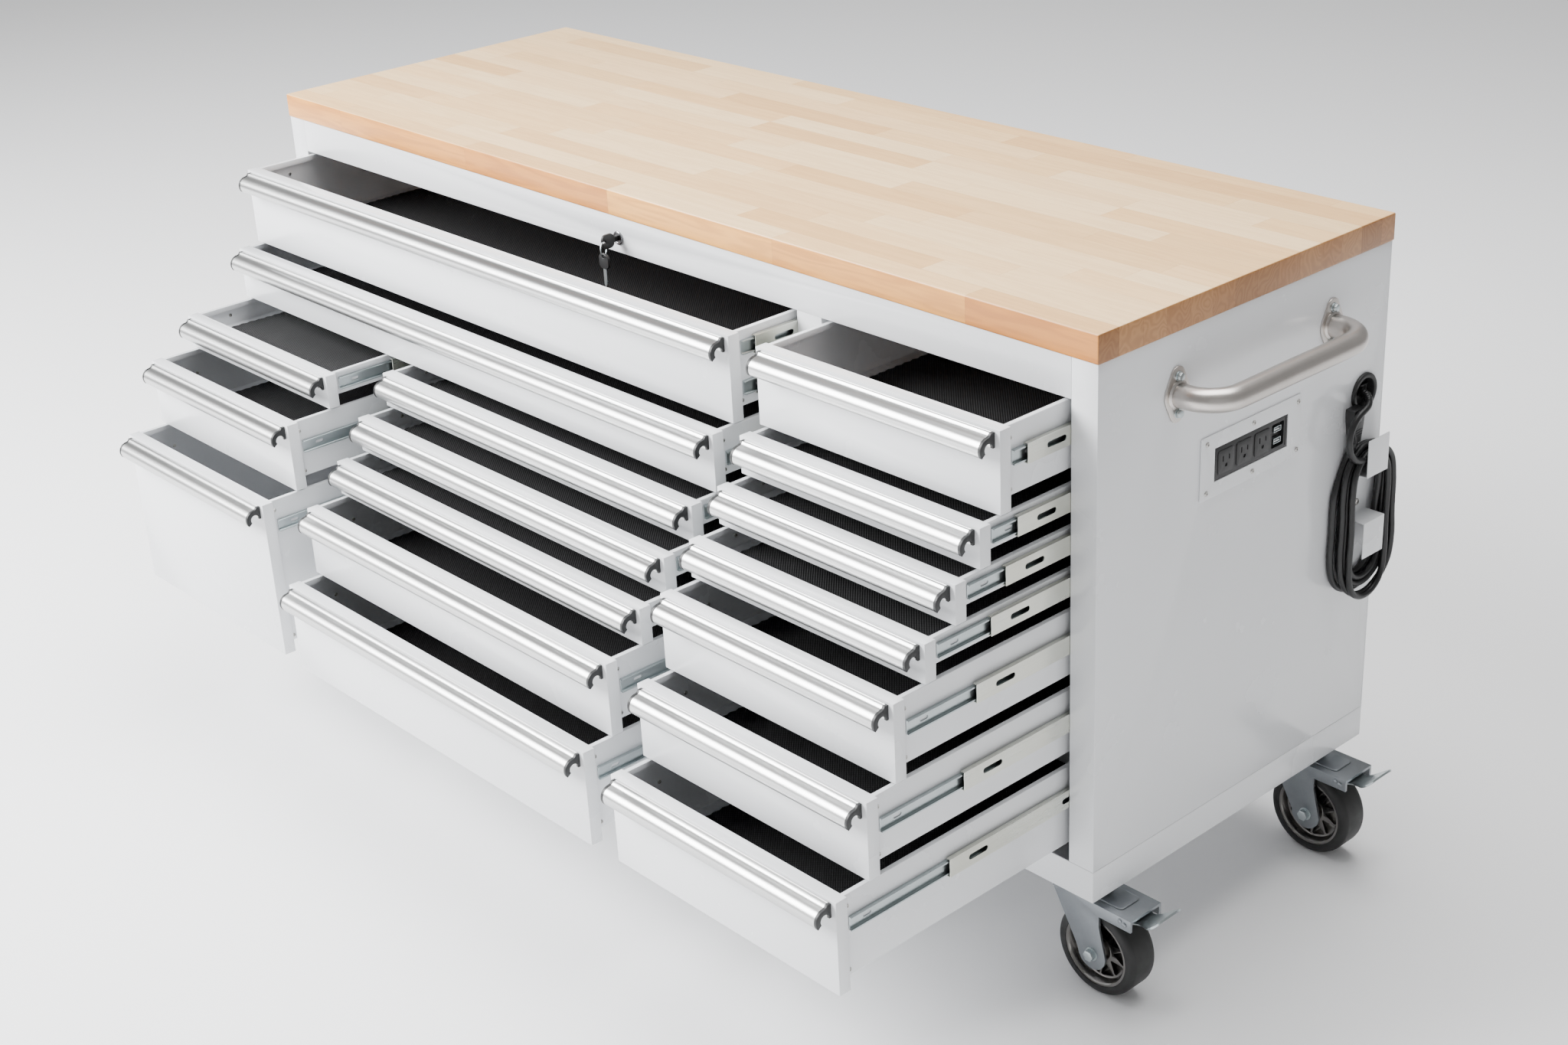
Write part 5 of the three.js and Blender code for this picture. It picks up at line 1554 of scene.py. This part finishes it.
def as_numbers(value: object) -> object:
    """Bounds as plain lists of numbers."""
    if isinstance(value, dict):
        return {key: as_numbers(inner) for key, inner in value.items()}
    if hasattr(value, "__len__") and not isinstance(value, str):
        return [as_numbers(inner) for inner in value]
    return value if isinstance(value, (str, type(None))) else float(value)


def main() -> None:
    """Sets up the studio, builds the bench and measures its size before and after."""
    logging.basicConfig(level=logging.INFO, format="%(message)s")
    before = as_numbers(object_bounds())
    Studio().build()
    Bench().build()
    lay_down()
    {"cad": before, "made": as_numbers(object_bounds())}


if __name__ == "__main__":
    main()
